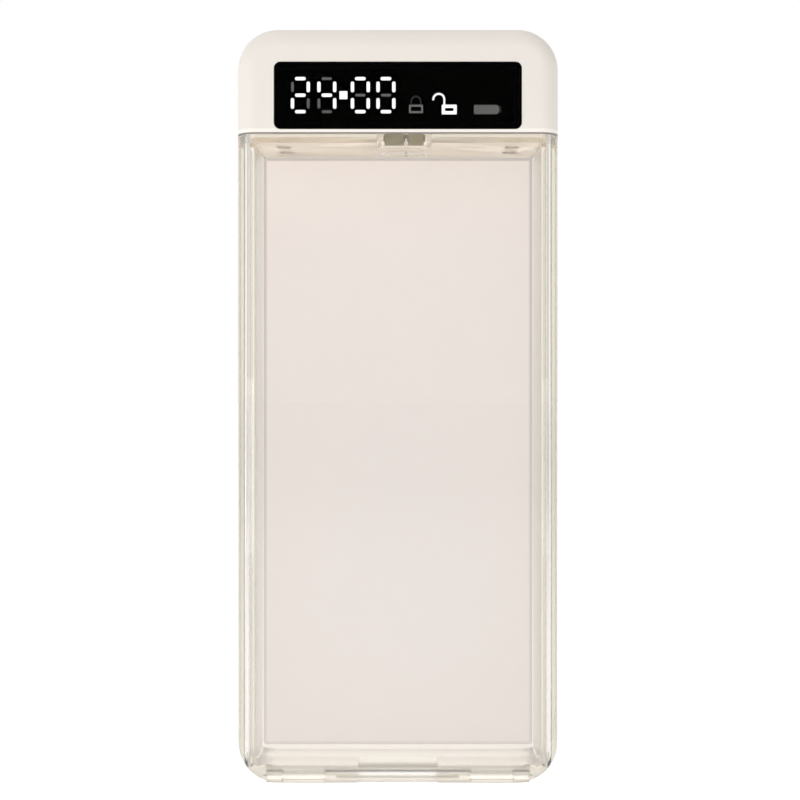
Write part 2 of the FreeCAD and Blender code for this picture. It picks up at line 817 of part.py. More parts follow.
def keeper_window():
    """The two pockets through the keeper's shelf that the prongs drop into."""
    deep = (f"{BOLT_FRONT} - part_gap", f"{BOLT_BACK} + part_gap")
    tall = (f"{KEEPER_TOP} - keeper_thick - {PAST}", f"{KEEPER_TOP} + keeper_wall_drop / 10")
    left = (f"{PRONGS_LEFT} - prong_clearance", f"{PRONGS_LEFT} + prong_left_width + prong_clearance")
    right = (f"{PRONGS_RIGHT} - prong_right_width - prong_clearance", f"{PRONGS_RIGHT} + prong_clearance")
    return join(
        "Keeper_windows",
        block("Keeper_window_left", left, deep, tall),
        block("Keeper_window_right", right, deep, tall),
    )


def make_hinge_pins():
    """Pins pressed into the lid's barrel and running in the tray's lugs."""
    for side, sign in SIDES:
        span = mirrored(sign, PIN_START, f"{HINGE_HALF} - part_gap")
        name = f"hinge_pin_{side}"
        node(name, rod(name.capitalize(), "x", "hinge_pin_radius", *span, (HINGE_Y, HINGE_Z)))


# ---------------------------------------------------------------- head
def head_cavity():
    """The space inside the head's two shells, open downwards."""
    wall = value("head_wall")
    return soft_block(
        "Head_cavity",
        ("-(case_width / 2 - head_wall)", "case_width / 2 - head_wall"),
        (HEAD_FRONT_IN, HEAD_BACK_IN),
        (f"{RIM} - head_height", HEAD_TOP_IN),
        value("corner_radius") - wall,
        value("front_edge_radius") - wall,
        value("back_edge_radius") - wall,
        rounded="top",
    )


def case_screw_places():
    """Name, sideways place and height of the four screws that close the head."""
    places = []
    for side, sign in SIDES:
        places.append((f"lower_{side}", f"{sign} * {LOWER_SCREW_X}", LOWER_SCREW_Z))
        places.append((f"upper_{side}", f"{sign} * {UPPER_SCREW_X}", UPPER_SCREW_Z))
    return places


def make_front_shell(cavity):
    """Front half of the head: window seat, button holes, charging port and bosses."""
    outside = overlap(
        "Front_outside", casing_form, block("Front_zone", ALL_X, (FRONT, SPLIT), (RIM, "case_height"))
    )
    seat = front_plate(
        "Window_seat",
        "0",
        WINDOW_MID,
        f"{WINDOW_WIDTH} + 2 * window_clearance",
        "window_height + 2 * window_clearance",
        "window_corner + window_clearance",
        f"({FRONT} - {PAST})",
        f"window_thick + {PAST}",
    )
    opening = front_plate(
        "Window_opening",
        "0",
        WINDOW_MID,
        f"{WINDOW_WIDTH} - 2 * window_ledge",
        "window_height - 2 * window_ledge",
        "window_corner - window_ledge",
        f"({FRONT} - {PAST})",
        f"head_wall + 2 * {PAST}",
    )
    holes = [seat, opening]
    for name, place_index in BUTTONS:
        holes.append(
            flat_plate(
                name.capitalize() + "_hole",
                f"{place_index} * button_pitch",
                BUTTON_Y,
                "button_width + 2 * button_clearance",
                "button_depth + 2 * button_clearance",
                "button_corner + button_clearance",
                f"({HEAD_TOP_IN} - {PAST})",
                f"head_wall + 2 * {PAST}",
            )
        )
    port_low = f"({BOARD_BACK} - port_clearance)"
    holes.append(
        block(
            "Port_hole",
            (f"case_width / 2 - head_wall - {PAST}", f"case_width / 2 + {PAST}"),
            (port_low, f"{BOARD_BACK} + port_thick + port_clearance"),
            (f"{PORT_Z} - port_width / 2 - port_clearance", f"{PORT_Z} + port_width / 2 + port_clearance"),
        )
    )
    bosses = []
    for name, x, z in case_screw_places():
        boss_front = f"({FRONT} + head_wall / 2)"
        bosses.append(rod(f"Front_boss_{name}", "y", "case_boss_radius", boss_front, SPLIT, (x, z)))
        pilot_end = f"({SPLIT} - case_pilot_depth)"
        holes.append(rod(f"Front_pilot_{name}", "y", "case_screw_radius", pilot_end, SPLIT, (x, z)))
    for side, sign in SIDES:
        across = (f"{sign} * {BOARD_SCREW_X}", BOARD_SCREW_Z)
        front = f"({FRONT} + head_wall)"
        bosses.append(rod(f"Board_boss_{side}", "y", "board_boss_radius", front, BOARD_FRONT, across))
        holes.append(rod(f"Board_pilot_{side}", "y", "small_screw_radius", front, BOARD_FRONT, across))
        across = (f"{sign} * button_board_screw_x", BUTTON_Y)
        top = f"({HEAD_TOP_IN} + head_wall / 4)"
        bosses.append(rod(f"Key_boss_{side}", "z", "board_boss_radius", BUTTON_BOARD_TOP, top, across))
        holes.append(rod(f"Key_pilot_{side}", "z", "small_screw_radius", BUTTON_BOARD_TOP, top, across))
    shell = cut("Front_hollow", outside, cavity)
    node("head_front_shell", cut("Front_shell", join("Front_body", shell, *bosses), *holes))


BOARD_SCREW_Z = f"({BOARD_TOP} - 2 * small_screw_head_radius + small_screw_radius)"


def make_rear_shell(cavity):
    """Rear half of the head, with the screw bosses and their sunk heads."""
    outside = overlap(
        "Rear_outside", casing_form, block("Rear_zone", ALL_X, (SPLIT, BACK), (RIM, "case_height"))
    )
    bosses = []
    holes = []
    for name, x, z in case_screw_places():
        start = f"({SPLIT} + floor_tab_thick)" if name.startswith("lower") else SPLIT
        seat = f"({BACK} - case_screw_sink)"
        end = f"({BACK} - head_wall / 2)"
        bosses.append(rod(f"Rear_boss_{name}", "y", "case_boss_rear_radius", start, end, (x, z)))
        sink_radius = "case_screw_head_radius + screw_clearance"
        holes.append(rod(f"Rear_sink_{name}", "y", sink_radius, seat, f"{BACK} + {PAST}", (x, z)))
        pass_radius = "case_screw_radius + screw_clearance"
        holes.append(rod(f"Rear_pass_{name}", "y", pass_radius, SPLIT, seat, (x, z)))
    shell = cut("Rear_hollow", outside, cavity)
    node("head_rear_shell", cut("Rear_shell", join("Rear_body", shell, *bosses), *holes))


def make_case_screws():
    """Four screws that close the head from behind."""
    pieces = []
    for name, x, z in case_screw_places():
        pieces.append(
            screw(
                f"Case_screw_{name}",
                "y",
                -1,
                f"({BACK} - case_screw_sink)",
                (x, z),
                "case_screw_radius",
                f"{BACK} - case_screw_sink - {SPLIT} + case_screw_grip",
                "case_screw_head_radius",
                "case_screw_head",
            )
        )
    node("case_screws", group("Case_screws", *pieces))


def make_floor():
    """The head's floor: the latch recess, sleeves for the tray's bosses, tabs for the case screws."""
    half = f"({LID_HALF_IN} - part_gap)"
    plate = soft_plan(
        "Floor_plate",
        (f"-{half}", half),
        (f"{LID_IN} + part_gap", f"{HEAD_BACK_IN} - part_gap"),
        (TRAY_LEDGE, FLOOR_TOP),
        value("front_edge_radius") - value("lid_skirt_wall") - value("part_gap"),
        value("back_edge_radius") - value("head_wall"),
    )
    pieces = [plate]
    through = (f"{TRAY_LEDGE} - {PAST}", f"{FLOOR_TOP} + {PAST}")
    holes = [
        block(
            "Floor_bolt_slot",
            (f"{PRONGS_LEFT} - part_gap", f"{PRONGS_RIGHT} + part_gap"),
            (f"{BOLT_FRONT} - part_gap", f"{BOLT_BACK} + part_gap"),
            through,
        ),
        block(
            "Floor_latch_recess",
            ("latch_offset - keeper_notch_width / 2", "latch_offset + keeper_notch_width / 2"),
            (LID_IN, BOLT_FRONT),
            through,
        ),
    ]
    for index, across in enumerate(tray_screw_places()):
        sleeve = "tray_boss_radius + screw_clearance + sleeve_wall"
        pieces.append(rod(f"Floor_sleeve_{index}", "z", sleeve, TRAY_LEDGE, SLEEVE_TOP, across))
        bore = "tray_boss_radius + screw_clearance"
        holes.append(rod(f"Floor_bore_{index}", "z", bore, TRAY_LEDGE, SLEEVE_TOP, across))
    for side, sign in SIDES:
        middle = f"{sign} * {LOWER_SCREW_X}"
        span = (f"{middle} - floor_tab_width / 2", f"{middle} + floor_tab_width / 2")
        deep = (SPLIT, f"{SPLIT} + floor_tab_thick")
        pieces.append(block(f"Floor_tab_{side}", span, deep, (TRAY_LEDGE, f"{FLOOR_TOP} + floor_tab_height")))
        across = (middle, LOWER_SCREW_Z)
        holes.append(rod(f"Floor_tab_hole_{side}", "y", "case_screw_radius + screw_clearance", *deep, across))
    for index, across in enumerate(frame_screw_places()):
        low = f"({FOOT_TOP} - frame_screw_reach)"
        holes.append(rod(f"Floor_pilot_{index}", "z", "small_screw_radius", low, FLOOR_TOP, across))
    node("head_floor", cut("Head_floor", join("Floor_body", *pieces), *holes))


def make_tray_screws():
    """Screws and washers that clamp the floor onto the tray's bosses."""
    screws = []
    washers = []
    for index, across in enumerate(tray_screw_places()):
        screws.append(
            screw(
                f"Tray_screw_{index}",
                "z",
                -1,
                f"({SLEEVE_TOP} + washer_thick)",
                across,
                "tray_screw_radius",
                "tray_screw_length",
                "tray_screw_head_radius",
                "tray_screw_head",
            )
        )
        top = f"({SLEEVE_TOP} + washer_thick)"
        disc = rod(f"Washer_disc_{index}", "z", "washer_radius", SLEEVE_TOP, top, across)
        hole = rod(f"Washer_hole_{index}", "z", "tray_screw_radius", SLEEVE_TOP, top, across)
        washers.append(cut(f"Washer_{index}", disc, hole))
    node("tray_screws", group("Tray_screws", *screws))
    node("tray_washers", group("Tray_washers", *washers))


# ---------------------------------------------------------------- display
def make_window():
    """The flush display window, with a fine bevel round its face."""
    body = front_plate(
        "Display_window",
        "0",
        WINDOW_MID,
        WINDOW_WIDTH,
        "window_height",
        "window_corner",
        FRONT,
        "window_thick",
    )
    doc.recompute()
    pad = body.Tip
    front = body.Shape.BoundBox.YMin
    names = []
    for index, edge in enumerate(pad.Shape.Edges, start=1):
        if face_edge(edge, front, math.inf):
            names.append(f"Edge{index}")
    bevel = body.newObject("PartDesign::Chamfer", "Window_bevel")
    bevel.Base = (pad, names)
    bind(bevel, Size="window_clearance * 1.5")
    node("display_window", body)


SEGMENTS = (
    # across and up from the digit's middle, in half widths and half heights, and direction
    (0, 1, "flat"),
    (1, 0.5, "tall"),
    (1, -0.5, "tall"),
    (0, -1, "flat"),
    (-1, -0.5, "tall"),
    (-1, 0.5, "tall"),
    (0, 0, "flat"),
)
# Middles of the display's symbols, as shares of the window's width
DIGIT_MIDDLES = (-0.3949, -0.2878, -0.1521, -0.0483)
DOT_MIDDLE = -0.2206
CLOSED_MIDDLE = 0.0734
OPEN_MIDDLE = 0.2081
GAUGE_MIDDLE = 0.3554


def stadium(x, z, half_length, half_stroke, direction, depth):
    """A display segment with round ends, extruded backwards from y = 0."""
    core = half_length - half_stroke
    turned = direction == "tall"
    half = (half_stroke, core) if turned else (core, half_stroke)
    parts = [slab(x, z, *half, depth)]
    for way in (-1, 1):
        end = Vector(x, 0, z + way * core) if turned else Vector(x + way * core, 0, z)
        parts.append(Part.makeCylinder(half_stroke, depth, end, Vector(0, 1, 0)))
    return parts[0].fuse(parts[1:]).removeSplitter()


def slab(x, z, half_width, half_height, depth):
    """A rectangular light field, extruded backwards from y = 0."""
    return Part.makeBox(2 * half_width, depth, 2 * half_height, Vector(x - half_width, 0, z - half_height))


def padlock_body(kind, middle, base, depth):
    """A padlock's body: a block with a keyhole slot that a stencil bridge leads out of."""
    height = value(f"{kind}_lock_height")
    z = base + height / 2
    bridge = value("stencil_bridge") / 2
    frame = slab(middle, z, value(f"{kind}_lock_width") / 2, height / 2, depth)
    slot = (value(f"{kind}_slot_width") / 2, value(f"{kind}_slot_height") / 2)
    keyhole = slab(middle, z, *slot, depth)
    stem = slab(middle, z - height / 2, bridge, height / 2, depth)
    return frame.cut(keyhole).cut(stem)


def padlock_bow(kind, middle, low, left_leg, right_leg, depth):
    """A padlock's bow: a half ring on two legs, the right one standing at low."""
    radius = value(f"{kind}_bow_radius")
    stroke = value(f"{kind}_bow_stroke")
    centre = low + right_leg
    ring = Part.makeCylinder(radius, depth, Vector(middle, 0, centre), Vector(0, 1, 0))
    hole = Part.makeCylinder(radius - stroke, depth, Vector(middle, 0, centre), Vector(0, 1, 0))
    arch = ring.cut(hole).common(slab(middle, centre + radius / 2, radius, radius / 2, depth))
    legs = []
    for way, leg in ((-1, left_leg), (1, right_leg)):
        legs.append(slab(middle + way * (radius - stroke / 2), centre - leg / 2, stroke / 2, leg / 2, depth))
    return arch.fuse(legs).removeSplitter()


def digit_fields(middle, depth):
    """The seven segments of one digit."""
    half_stroke = value("digit_stroke") / 2
    half_wide = value("digit_width") / 2 - half_stroke
    half_tall = value("digit_height") / 2 - half_stroke
    half_length = value("segment_length") / 2
    fields = []
    for across, up, direction in SEGMENTS:
        x = middle + across * half_wide
        fields.append(stadium(x, up * half_tall, half_length, half_stroke, direction, depth))
    return fields


def padlock_fields(width, base, depth):
    """The closed and the open padlock, each with its bow a bridge above its body."""
    bridge = value("stencil_bridge")
    closed = CLOSED_MIDDLE * width
    closed_low = base + value("closed_lock_rise")
    closed_leg = value("closed_bow_leg")
    closed_top = closed_low + value("closed_lock_height") + bridge
    opened = OPEN_MIDDLE * width
    opened_top = base + value("open_lock_height") + bridge
    opened_bow = opened - value("open_bow_offset")
    opened_legs = (value("open_bow_end"), value("open_bow_leg"))
    return [
        padlock_body("closed", closed, closed_low, depth),
        padlock_bow("closed", closed, closed_top, closed_leg, closed_leg, depth),
        padlock_body("open", opened, base, depth),
        padlock_bow("open", opened_bow, opened_top, *opened_legs, depth),
    ]


def gauge_field(width, base, depth):
    """The battery gauge: a bar with a narrower tip."""
    middle = GAUGE_MIDDLE * width
    half = value("gauge_width") / 2
    half_tip = value("gauge_tip") / 2
    z = base + value("gauge_height") / 2
    cell = slab(middle, z, half, value("gauge_height") / 2, depth)
    tip = slab(middle + half + half_tip, z, half_tip, value("gauge_tip_height") / 2, depth)
    return cell.fuse(tip)


def light_fields(depth):
    """Every lit shape of the display, from y = 0 backwards, about the digits' mid height."""
    width = value("case_width") - 2 * value("window_side_margin")
    dot_half = value("dot_width") / 2
    base = value("icon_base_height") - value("digit_centre_height")
    fields = []
    for share in DIGIT_MIDDLES:
        fields += digit_fields(share * width, depth)
    fields.append(slab(DOT_MIDDLE * width, 0, dot_half, dot_half, depth))
    fields += padlock_fields(width, base, depth)
    fields.append(gauge_field(width, base, depth))
    return fields


MASK_BACK = BOARD_FRONT
MASK_LOW = f"({BOARD_LOW} + mask_rise - board_rise)"
DIGITS_Z = f"({RIM} + digit_centre_height)"
SHEET_FRONT = f"({HEAD_FRONT_IN} + mask_face)"


def make_display_module():
    """Black light mask, milky diffuser with raised fields, and the chips behind it."""
    mask_half = f"({WINDOW_WIDTH} / 2 + mask_margin)"
    housing = block(
        "Mask_housing",
        (f"-{mask_half}", mask_half),
        (HEAD_FRONT_IN, MASK_BACK),
        (MASK_LOW, f"{MASK_LOW} + mask_height"),
    )
    nose_front = f"({FRONT} + window_thick + window_clearance)"
    nose = front_plate(
        "Mask_nose",
        "0",
        WINDOW_MID,
        f"{WINDOW_WIDTH} - 2 * window_ledge - 2 * window_clearance",
        "window_height - 2 * window_ledge - 2 * window_clearance",
        "window_corner - window_ledge - window_clearance",
        nose_front,
        "head_wall - window_thick - window_clearance + mask_face / 2",
    )
    inner_half = f"({mask_half} - mask_wall)"
    hollow_z = (f"{MASK_LOW} + mask_wall", f"{MASK_LOW} + mask_height - mask_wall")
    hollow = block("Mask_hollow", (f"-{inner_half}", inner_half), (SHEET_FRONT, MASK_BACK), hollow_z)
    face_depth = value("head_wall") - value("window_thick") - value("window_clearance") + value("mask_face")
    fields = solid("Light_fields", Part.makeCompound(light_fields(face_depth)))
    place(fields, "0", nose_front, DIGITS_Z)
    node("light_mask", cut("Light_mask", join("Mask_body", housing, nose), hollow, fields))

    back_sheet = block(
        "Diffuser_sheet",
        (f"-({inner_half} - window_clearance)", f"{inner_half} - window_clearance"),
        (SHEET_FRONT, f"{SHEET_FRONT} + diffuser_sheet"),
        (f"{hollow_z[0]} + window_clearance", f"{hollow_z[1]} - window_clearance"),
    )
    raised = solid("Raised_fields", Part.makeCompound(light_fields(face_depth)))
    place(raised, "0", nose_front, DIGITS_Z)
    node("display_diffuser", join("Display_diffuser", back_sheet, raised))

    thick = value("led_thick")
    chips = []
    for field in light_fields(thick):
        centre = field.BoundBox.Center
        chips.append(slab(centre.x, centre.z, value("led_width") / 2, value("led_height") / 2, thick))
    leds = solid("Display_leds", Part.makeCompound(chips))
    place(leds, "0", f"{BOARD_FRONT} - led_thick", DIGITS_Z)
    node("display_leds", leds)


# ---------------------------------------------------------------- electronics
def make_main_board():
    """The main circuit board behind the display, with its chips, buzzer and screws."""
    deep = (BOARD_FRONT, BOARD_BACK)
    lower = block("Board_lower", (f"-{BOARD_LOWER_HALF}", BOARD_LOWER_HALF), deep, (BOARD_LOW, BOARD_TOP))
    wide_tall = (f"{BOARD_LOW} + board_wide_rise", BOARD_TOP)
    wide = block("Board_wide", (f"-{BOARD_WIDE_HALF}", BOARD_WIDE_HALF), deep, wide_tall)
    holes = []
    screws = []
    for side, sign in SIDES:
        across = (f"{sign} * {BOARD_SCREW_X}", BOARD_SCREW_Z)
        holes.append(rod(f"Board_hole_{side}", "y", "small_screw_radius + screw_clearance", *deep, across))
        screws.append(
            screw(
                f"Board_screw_{side}",
                "y",
                -1,
                BOARD_BACK,
                across,
                "small_screw_radius",
                "frame_screw_reach + board_thick",
                "small_screw_head_radius",
                "small_screw_head",
            )
        )
    node("main_board", cut("Main_board", join("Board_body", lower, wide), *holes))
    node("board_screws", group("Board_screws", *screws))

    chip_deep = (BOARD_BACK, f"{BOARD_BACK} + chip_thick")
    controller_x = ("-controller_offset - chip_width / 2", "-controller_offset + chip_width / 2")
    controller_z = (f"{GEAR_Z} - chip_width / 2", f"{GEAR_Z} + chip_width / 2")
    node("controller_chip", block("Controller", controller_x, chip_deep, controller_z))
    charger_x = ("-charger_offset - charger_width / 2", "-charger_offset + charger_width / 2")
    charger_z = (GEAR_Z, f"{GEAR_Z} + charger_width")
    node("charger_chip", block("Charger", charger_x, chip_deep, charger_z))
    sensor_x = (f"{PRONGS_LEFT} - sensor_gap - sensor_width", f"{PRONGS_LEFT} - sensor_gap")
    node("bolt_sensor", block("Sensor", sensor_x, chip_deep, (BAR_LOW, f"{BAR_LOW} + bolt_bar")))
    buzzer_x = f"({BOARD_LOWER_HALF} - buzzer_radius - part_gap)"
    buzzer_back = f"{BOARD_BACK} + buzzer_thick"
    across = (buzzer_x, GEAR_Z)
    can = rod("Buzzer_can", "y", "buzzer_radius", BOARD_BACK, buzzer_back, across)
    vent = rod("Buzzer_vent", "y", "buzzer_radius / 5", f"{buzzer_back} - part_gap", buzzer_back, across)
    node("buzzer", cut("Buzzer", can, vent))


def make_port():
    """The charging socket at the board's right edge, opening through the head's side."""
    mouth = "(case_width / 2 - port_recess)"
    deep = (BOARD_BACK, f"{BOARD_BACK} + port_thick")
    tall = (f"{PORT_Z} - port_width / 2", f"{PORT_Z} + port_width / 2")
    shell = block("Port_shell", (f"{mouth} - port_depth", mouth), deep, tall)
    rounded = soft_tube(shell, value("port_thick") / 2 - value("port_wall") / 2)
    inner_deep = (f"{BOARD_BACK} + port_wall", f"{BOARD_BACK} + port_thick - port_wall")
    inner_tall = (f"{tall[0]} + port_wall", f"{tall[1]} - port_wall")
    inner_span = (f"{mouth} - port_depth + 3 * port_wall", f"{mouth} + {PAST}")
    inner = block("Port_inner", inner_span, inner_deep, inner_tall)
    inner_rounded = soft_tube(inner, value("port_thick") / 2 - 1.5 * value("port_wall"))
    tongue = block(
        "Port_tongue",
        (f"{mouth} - port_depth", f"{mouth} - 2 * port_wall"),
        (f"{BOARD_BACK} + port_thick / 2 - port_wall", f"{BOARD_BACK} + port_thick / 2 + port_wall"),
        (f"{PORT_Z} - port_width / 3", f"{PORT_Z} + port_width / 3"),
    )
    hollow = cut("Port_hollow", rounded, inner_rounded)
    node("charging_port", join("Charging_port", hollow, tongue))


def soft_tube(item, radius):
    """Round a block's four edges along X."""
    doc.recompute()
    longest = item.Shape.BoundBox.XLength
    return round_edges(
        item.Name + "_rounded", item, lambda edge: abs(edge.BoundBox.XLength - longest) < 1e-6, radius
    )


def make_battery():
    """A flat cell taped to the rear shell."""
    tape_front = f"({HEAD_BACK_IN} - battery_tape)"
    high = f"({HEAD_TOP_IN} - battery_drop)"
    middle = (
        f"-({UPPER_SCREW_X} - case_boss_rear_radius - battery_gap - battery_width / 2)",
        f"{high} - battery_height / 2",
    )
    cell_front = f"({tape_front} - battery_thick)"
    cell = (*middle, "battery_width", "battery_height", "battery_corner")
    node("battery_cell", front_plate("Battery_cell", *cell, cell_front, "battery_thick"))
    tape_size = ("battery_width - 2 * battery_tape_inset", "battery_height - 2 * battery_tape_inset")
    tape = (*middle, *tape_size, "battery_corner")
    node("battery_tape", front_plate("Battery_tape", *tape, tape_front, "battery_tape"))


# ---------------------------------------------------------------- buttons
def make_buttons():
    """Three flanged caps in the head's top, over push switches on their own board."""
    for name, place_index in BUTTONS:
        x = f"{place_index} * button_pitch"
        title = name.capitalize()
        cap = flat_plate(
            f"{title}_face",
            x,
            BUTTON_Y,
            "button_width",
            "button_depth",
            "button_corner",
            FLANGE_LOW,
            f"case_height - button_recess - ({FLANGE_LOW})",
        )
        flange = flat_plate(
            f"{title}_flange",
            x,
            BUTTON_Y,
            "button_width + 2 * button_flange",
            "button_depth + 2 * button_flange",
            "button_corner + button_flange",
            FLANGE_LOW,
            "button_flange_thick",
        )
        node(f"{name}_cap", join(f"{title}_cap", cap, flange))
        across = (x, BUTTON_Y)
        plunger_low = f"({SWITCH_TOP} - plunger_depth)"
        plunger = rod(f"{title}_plunger", "z", "plunger_radius", plunger_low, FLANGE_LOW, across)
        node(f"{name}_plunger", plunger)
        box = block(
            f"{title}_switch_box",
            (f"{x} - switch_width / 2", f"{x} + switch_width / 2"),
            (f"{BUTTON_Y} - switch_width / 2", f"{BUTTON_Y} + switch_width / 2"),
            (BUTTON_BOARD_TOP, SWITCH_TOP),
        )
        well_low = f"({plunger_low} - button_travel - button_rest_gap)"
        well_radius = "plunger_radius + pin_clearance"
        well = rod(f"{title}_switch_well", "z", well_radius, well_low, SWITCH_TOP, across)
        node(f"{name}_switch", cut(f"{title}_switch", box, well))


def make_button_board():
    """The small board under the buttons, screwed up into the head's top."""
    plate = flat_plate(
        "Button_plate",
        "0",
        BUTTON_Y,
        "button_board_width",
        "button_board_depth",
        "button_board_corner",
        BUTTON_BOARD_LOW,
        "button_board_thick",
    )
    holes = []
    screws = []
    for side, sign in SIDES:
        across = (f"{sign} * button_board_screw_x", BUTTON_Y)
        radius = "small_screw_radius + screw_clearance"
        holes.append(rod(f"Key_hole_{side}", "z", radius, BUTTON_BOARD_LOW, BUTTON_BOARD_TOP, across))
        screws.append(
            screw(
                f"Key_screw_{side}",
                "z",
                1,
                BUTTON_BOARD_LOW,
                across,
                "small_screw_radius",
                "frame_screw_reach + button_board_thick - part_gap",
                "small_screw_head_radius",
                "small_screw_head",
            )
        )
    node("button_board", cut("Button_board", plate, *holes))
    node("button_board_screws", group("Button_board_screws", *screws))


# ---------------------------------------------------------------- lock
def make_bolt():
    """The two-pronged bolt with its toothed stem, and the magnet that marks its place."""
    deep = (BOLT_FRONT, BOLT_BACK)
    bar_top = f"({BAR_LOW} + bolt_bar)"
    left_prong = (PRONGS_LEFT, f"{PRONGS_LEFT} + prong_left_width")
    right_prong = (f"{PRONGS_RIGHT} - prong_right_width", PRONGS_RIGHT)
    stem_z = (bar_top, f"{bar_top} + stem_height")
    pieces = [
        block("Prong_left", left_prong, deep, (CEILING, BAR_LOW)),
        block("Prong_right", right_prong, deep, (CEILING, BAR_LOW)),
        block("Bolt_bar", (PRONGS_LEFT, PRONGS_RIGHT), deep, (BAR_LOW, bar_top)),
        block("Bolt_stem", ("latch_offset - stem_width / 2", STEM_RIGHT), deep, stem_z),
    ]
    teeth = solid("Rack_teeth", Part.makeCompound(rack_teeth()))
    place(teeth, STEM_RIGHT, BOLT_FRONT, GEAR_Z)
    pieces.append(teeth)
    socket_x = (PRONGS_LEFT, f"{PRONGS_LEFT} + magnet_length")
    across = (f"({BOLT_FRONT} + {BOLT_BACK}) / 2", f"{BAR_LOW} + bolt_bar / 2")
    socket = rod("Magnet_socket", "x", "magnet_radius", *socket_x, across)
    node("lock_bolt", cut("Lock_bolt", join("Bolt_body", *pieces), socket))
    node("bolt_magnet", rod("Bolt_magnet", "x", "magnet_radius", *socket_x, across))


def rack_teeth():
    """Straight-sided rack teeth on the YZ plane, pointing to +X, one centred at z = 0."""
    pitch = math.pi * value("gear_module")
    dedendum = value("gear_dedendum")
    tip_x = dedendum + value("gear_addendum")
    slope = math.tan(PRESSURE_ANGLE)
    half_pitch_line = (pitch / 2 - value("gear_backlash")) / 2
    half_root = half_pitch_line + dedendum * slope
    half_tip = half_pitch_line - value("gear_addendum") * slope
    sunk = dedendum / 2
    teeth = []
    reach = value("bolt_travel") + value("gear_module") * value("pinion_teeth") / 2
    for index in range(-math.ceil(2 / pitch), math.floor(reach / pitch) + 1):
        z = index * pitch
        outline = ((-sunk, -half_root), (0, -half_root), (tip_x, -half_tip), (tip_x, half_tip))
        outline += ((0, half_root), (-sunk, half_root))
        corners = [Vector(x, 0, z + up) for x, up in outline]
        face = Part.Face(Part.makePolygon(corners + corners[:1]))
        teeth.append(face.extrude(Vector(0, value("bolt_thick"), 0)))
    return teeth


def frame_screw_places():
    """Where the two screws through the lock frame's foot stand."""
    y = f"({FRONT_PLATE_FRONT} + {REAR_PLATE_BACK}) / 2"
    return (
        (f"{PRONGS_LEFT} - frame_screw_margin", y),
        (f"{MOTOR_X} + motor_height / 2 - frame_side_margin", y),
    )


def make_lock_frame():
    """The frame on the floor that guides the bolt and carries the gears and motor."""
    foot_left = f"({PRONGS_LEFT} - frame_left)"
    foot_right = f"({MOTOR_X} + motor_height / 2 + frame_side_margin)"
    top = f"({FOOT_TOP} + frame_height)"
    deep = (FRONT_PLATE_FRONT, REAR_PLATE_BACK)
    plate_left = f"({PRONGS_LEFT} - part_gap)"
    rail_right = "(latch_offset - stem_width / 2 - part_gap)"
    rail_low = f"({BAR_LOW} + bolt_bar + part_gap)"
    front_right = f"({plate_left} + frame_front_width)"
    front_deep = (FRONT_PLATE_FRONT, FRONT_PLATE_BACK)
    rear_deep = (REAR_PLATE_FRONT, REAR_PLATE_BACK)
    pieces = [
        block("Frame_foot", (foot_left, foot_right), deep, (FLOOR_TOP, FOOT_TOP)),
        block("Frame_front", (plate_left, front_right), front_deep, (FLOOR_TOP, top)),
        block("Frame_rear", (plate_left, foot_right), rear_deep, (FLOOR_TOP, top)),
        block("Frame_rail", (f"{rail_right} - frame_rail", rail_right), deep, (rail_low, top)),
    ]
    holes = [
        block(
            "Frame_bolt_slot",
            (f"{PRONGS_LEFT} - part_gap", f"{PRONGS_RIGHT} + part_gap"),
            (f"{BOLT_FRONT} - part_gap", f"{BOLT_BACK} + part_gap"),
            (f"{FLOOR_TOP} - {PAST}", f"{FOOT_TOP} + {PAST}"),
        ),
        rod("Frame_axle_hole", "y", "axle_radius", *deep, (GEAR_X, GEAR_Z)),
        rod(
            "Frame_motor_hole",
            "y",
            "motor_boss_radius + motor_boss_clearance",
            REAR_PLATE_FRONT,
            REAR_PLATE_BACK,
            (MOTOR_X, GEAR_Z),
        ),
    ]
    for index, across in enumerate(motor_screw_places()):
        radius = "small_screw_radius + motor_boss_clearance"
        holes.append(rod(f"Motor_hole_{index}", "y", radius, REAR_PLATE_FRONT, REAR_PLATE_BACK, across))
    screws = []
    for index, across in enumerate(frame_screw_places()):
        radius = "small_screw_radius + motor_boss_clearance"
        holes.append(rod(f"Foot_hole_{index}", "z", radius, FLOOR_TOP, FOOT_TOP, across))
        screws.append(
            screw(
                f"Frame_screw_{index}",
                "z",
                -1,
                FOOT_TOP,
                across,
                "small_screw_radius",
                "frame_screw_reach",
                "small_screw_head_radius",
                "small_screw_head",
            )
        )
    node("lock_frame", cut("Lock_frame", join("Frame_body", *pieces), *holes))
    node("frame_screws", group("Frame_screws", *screws))


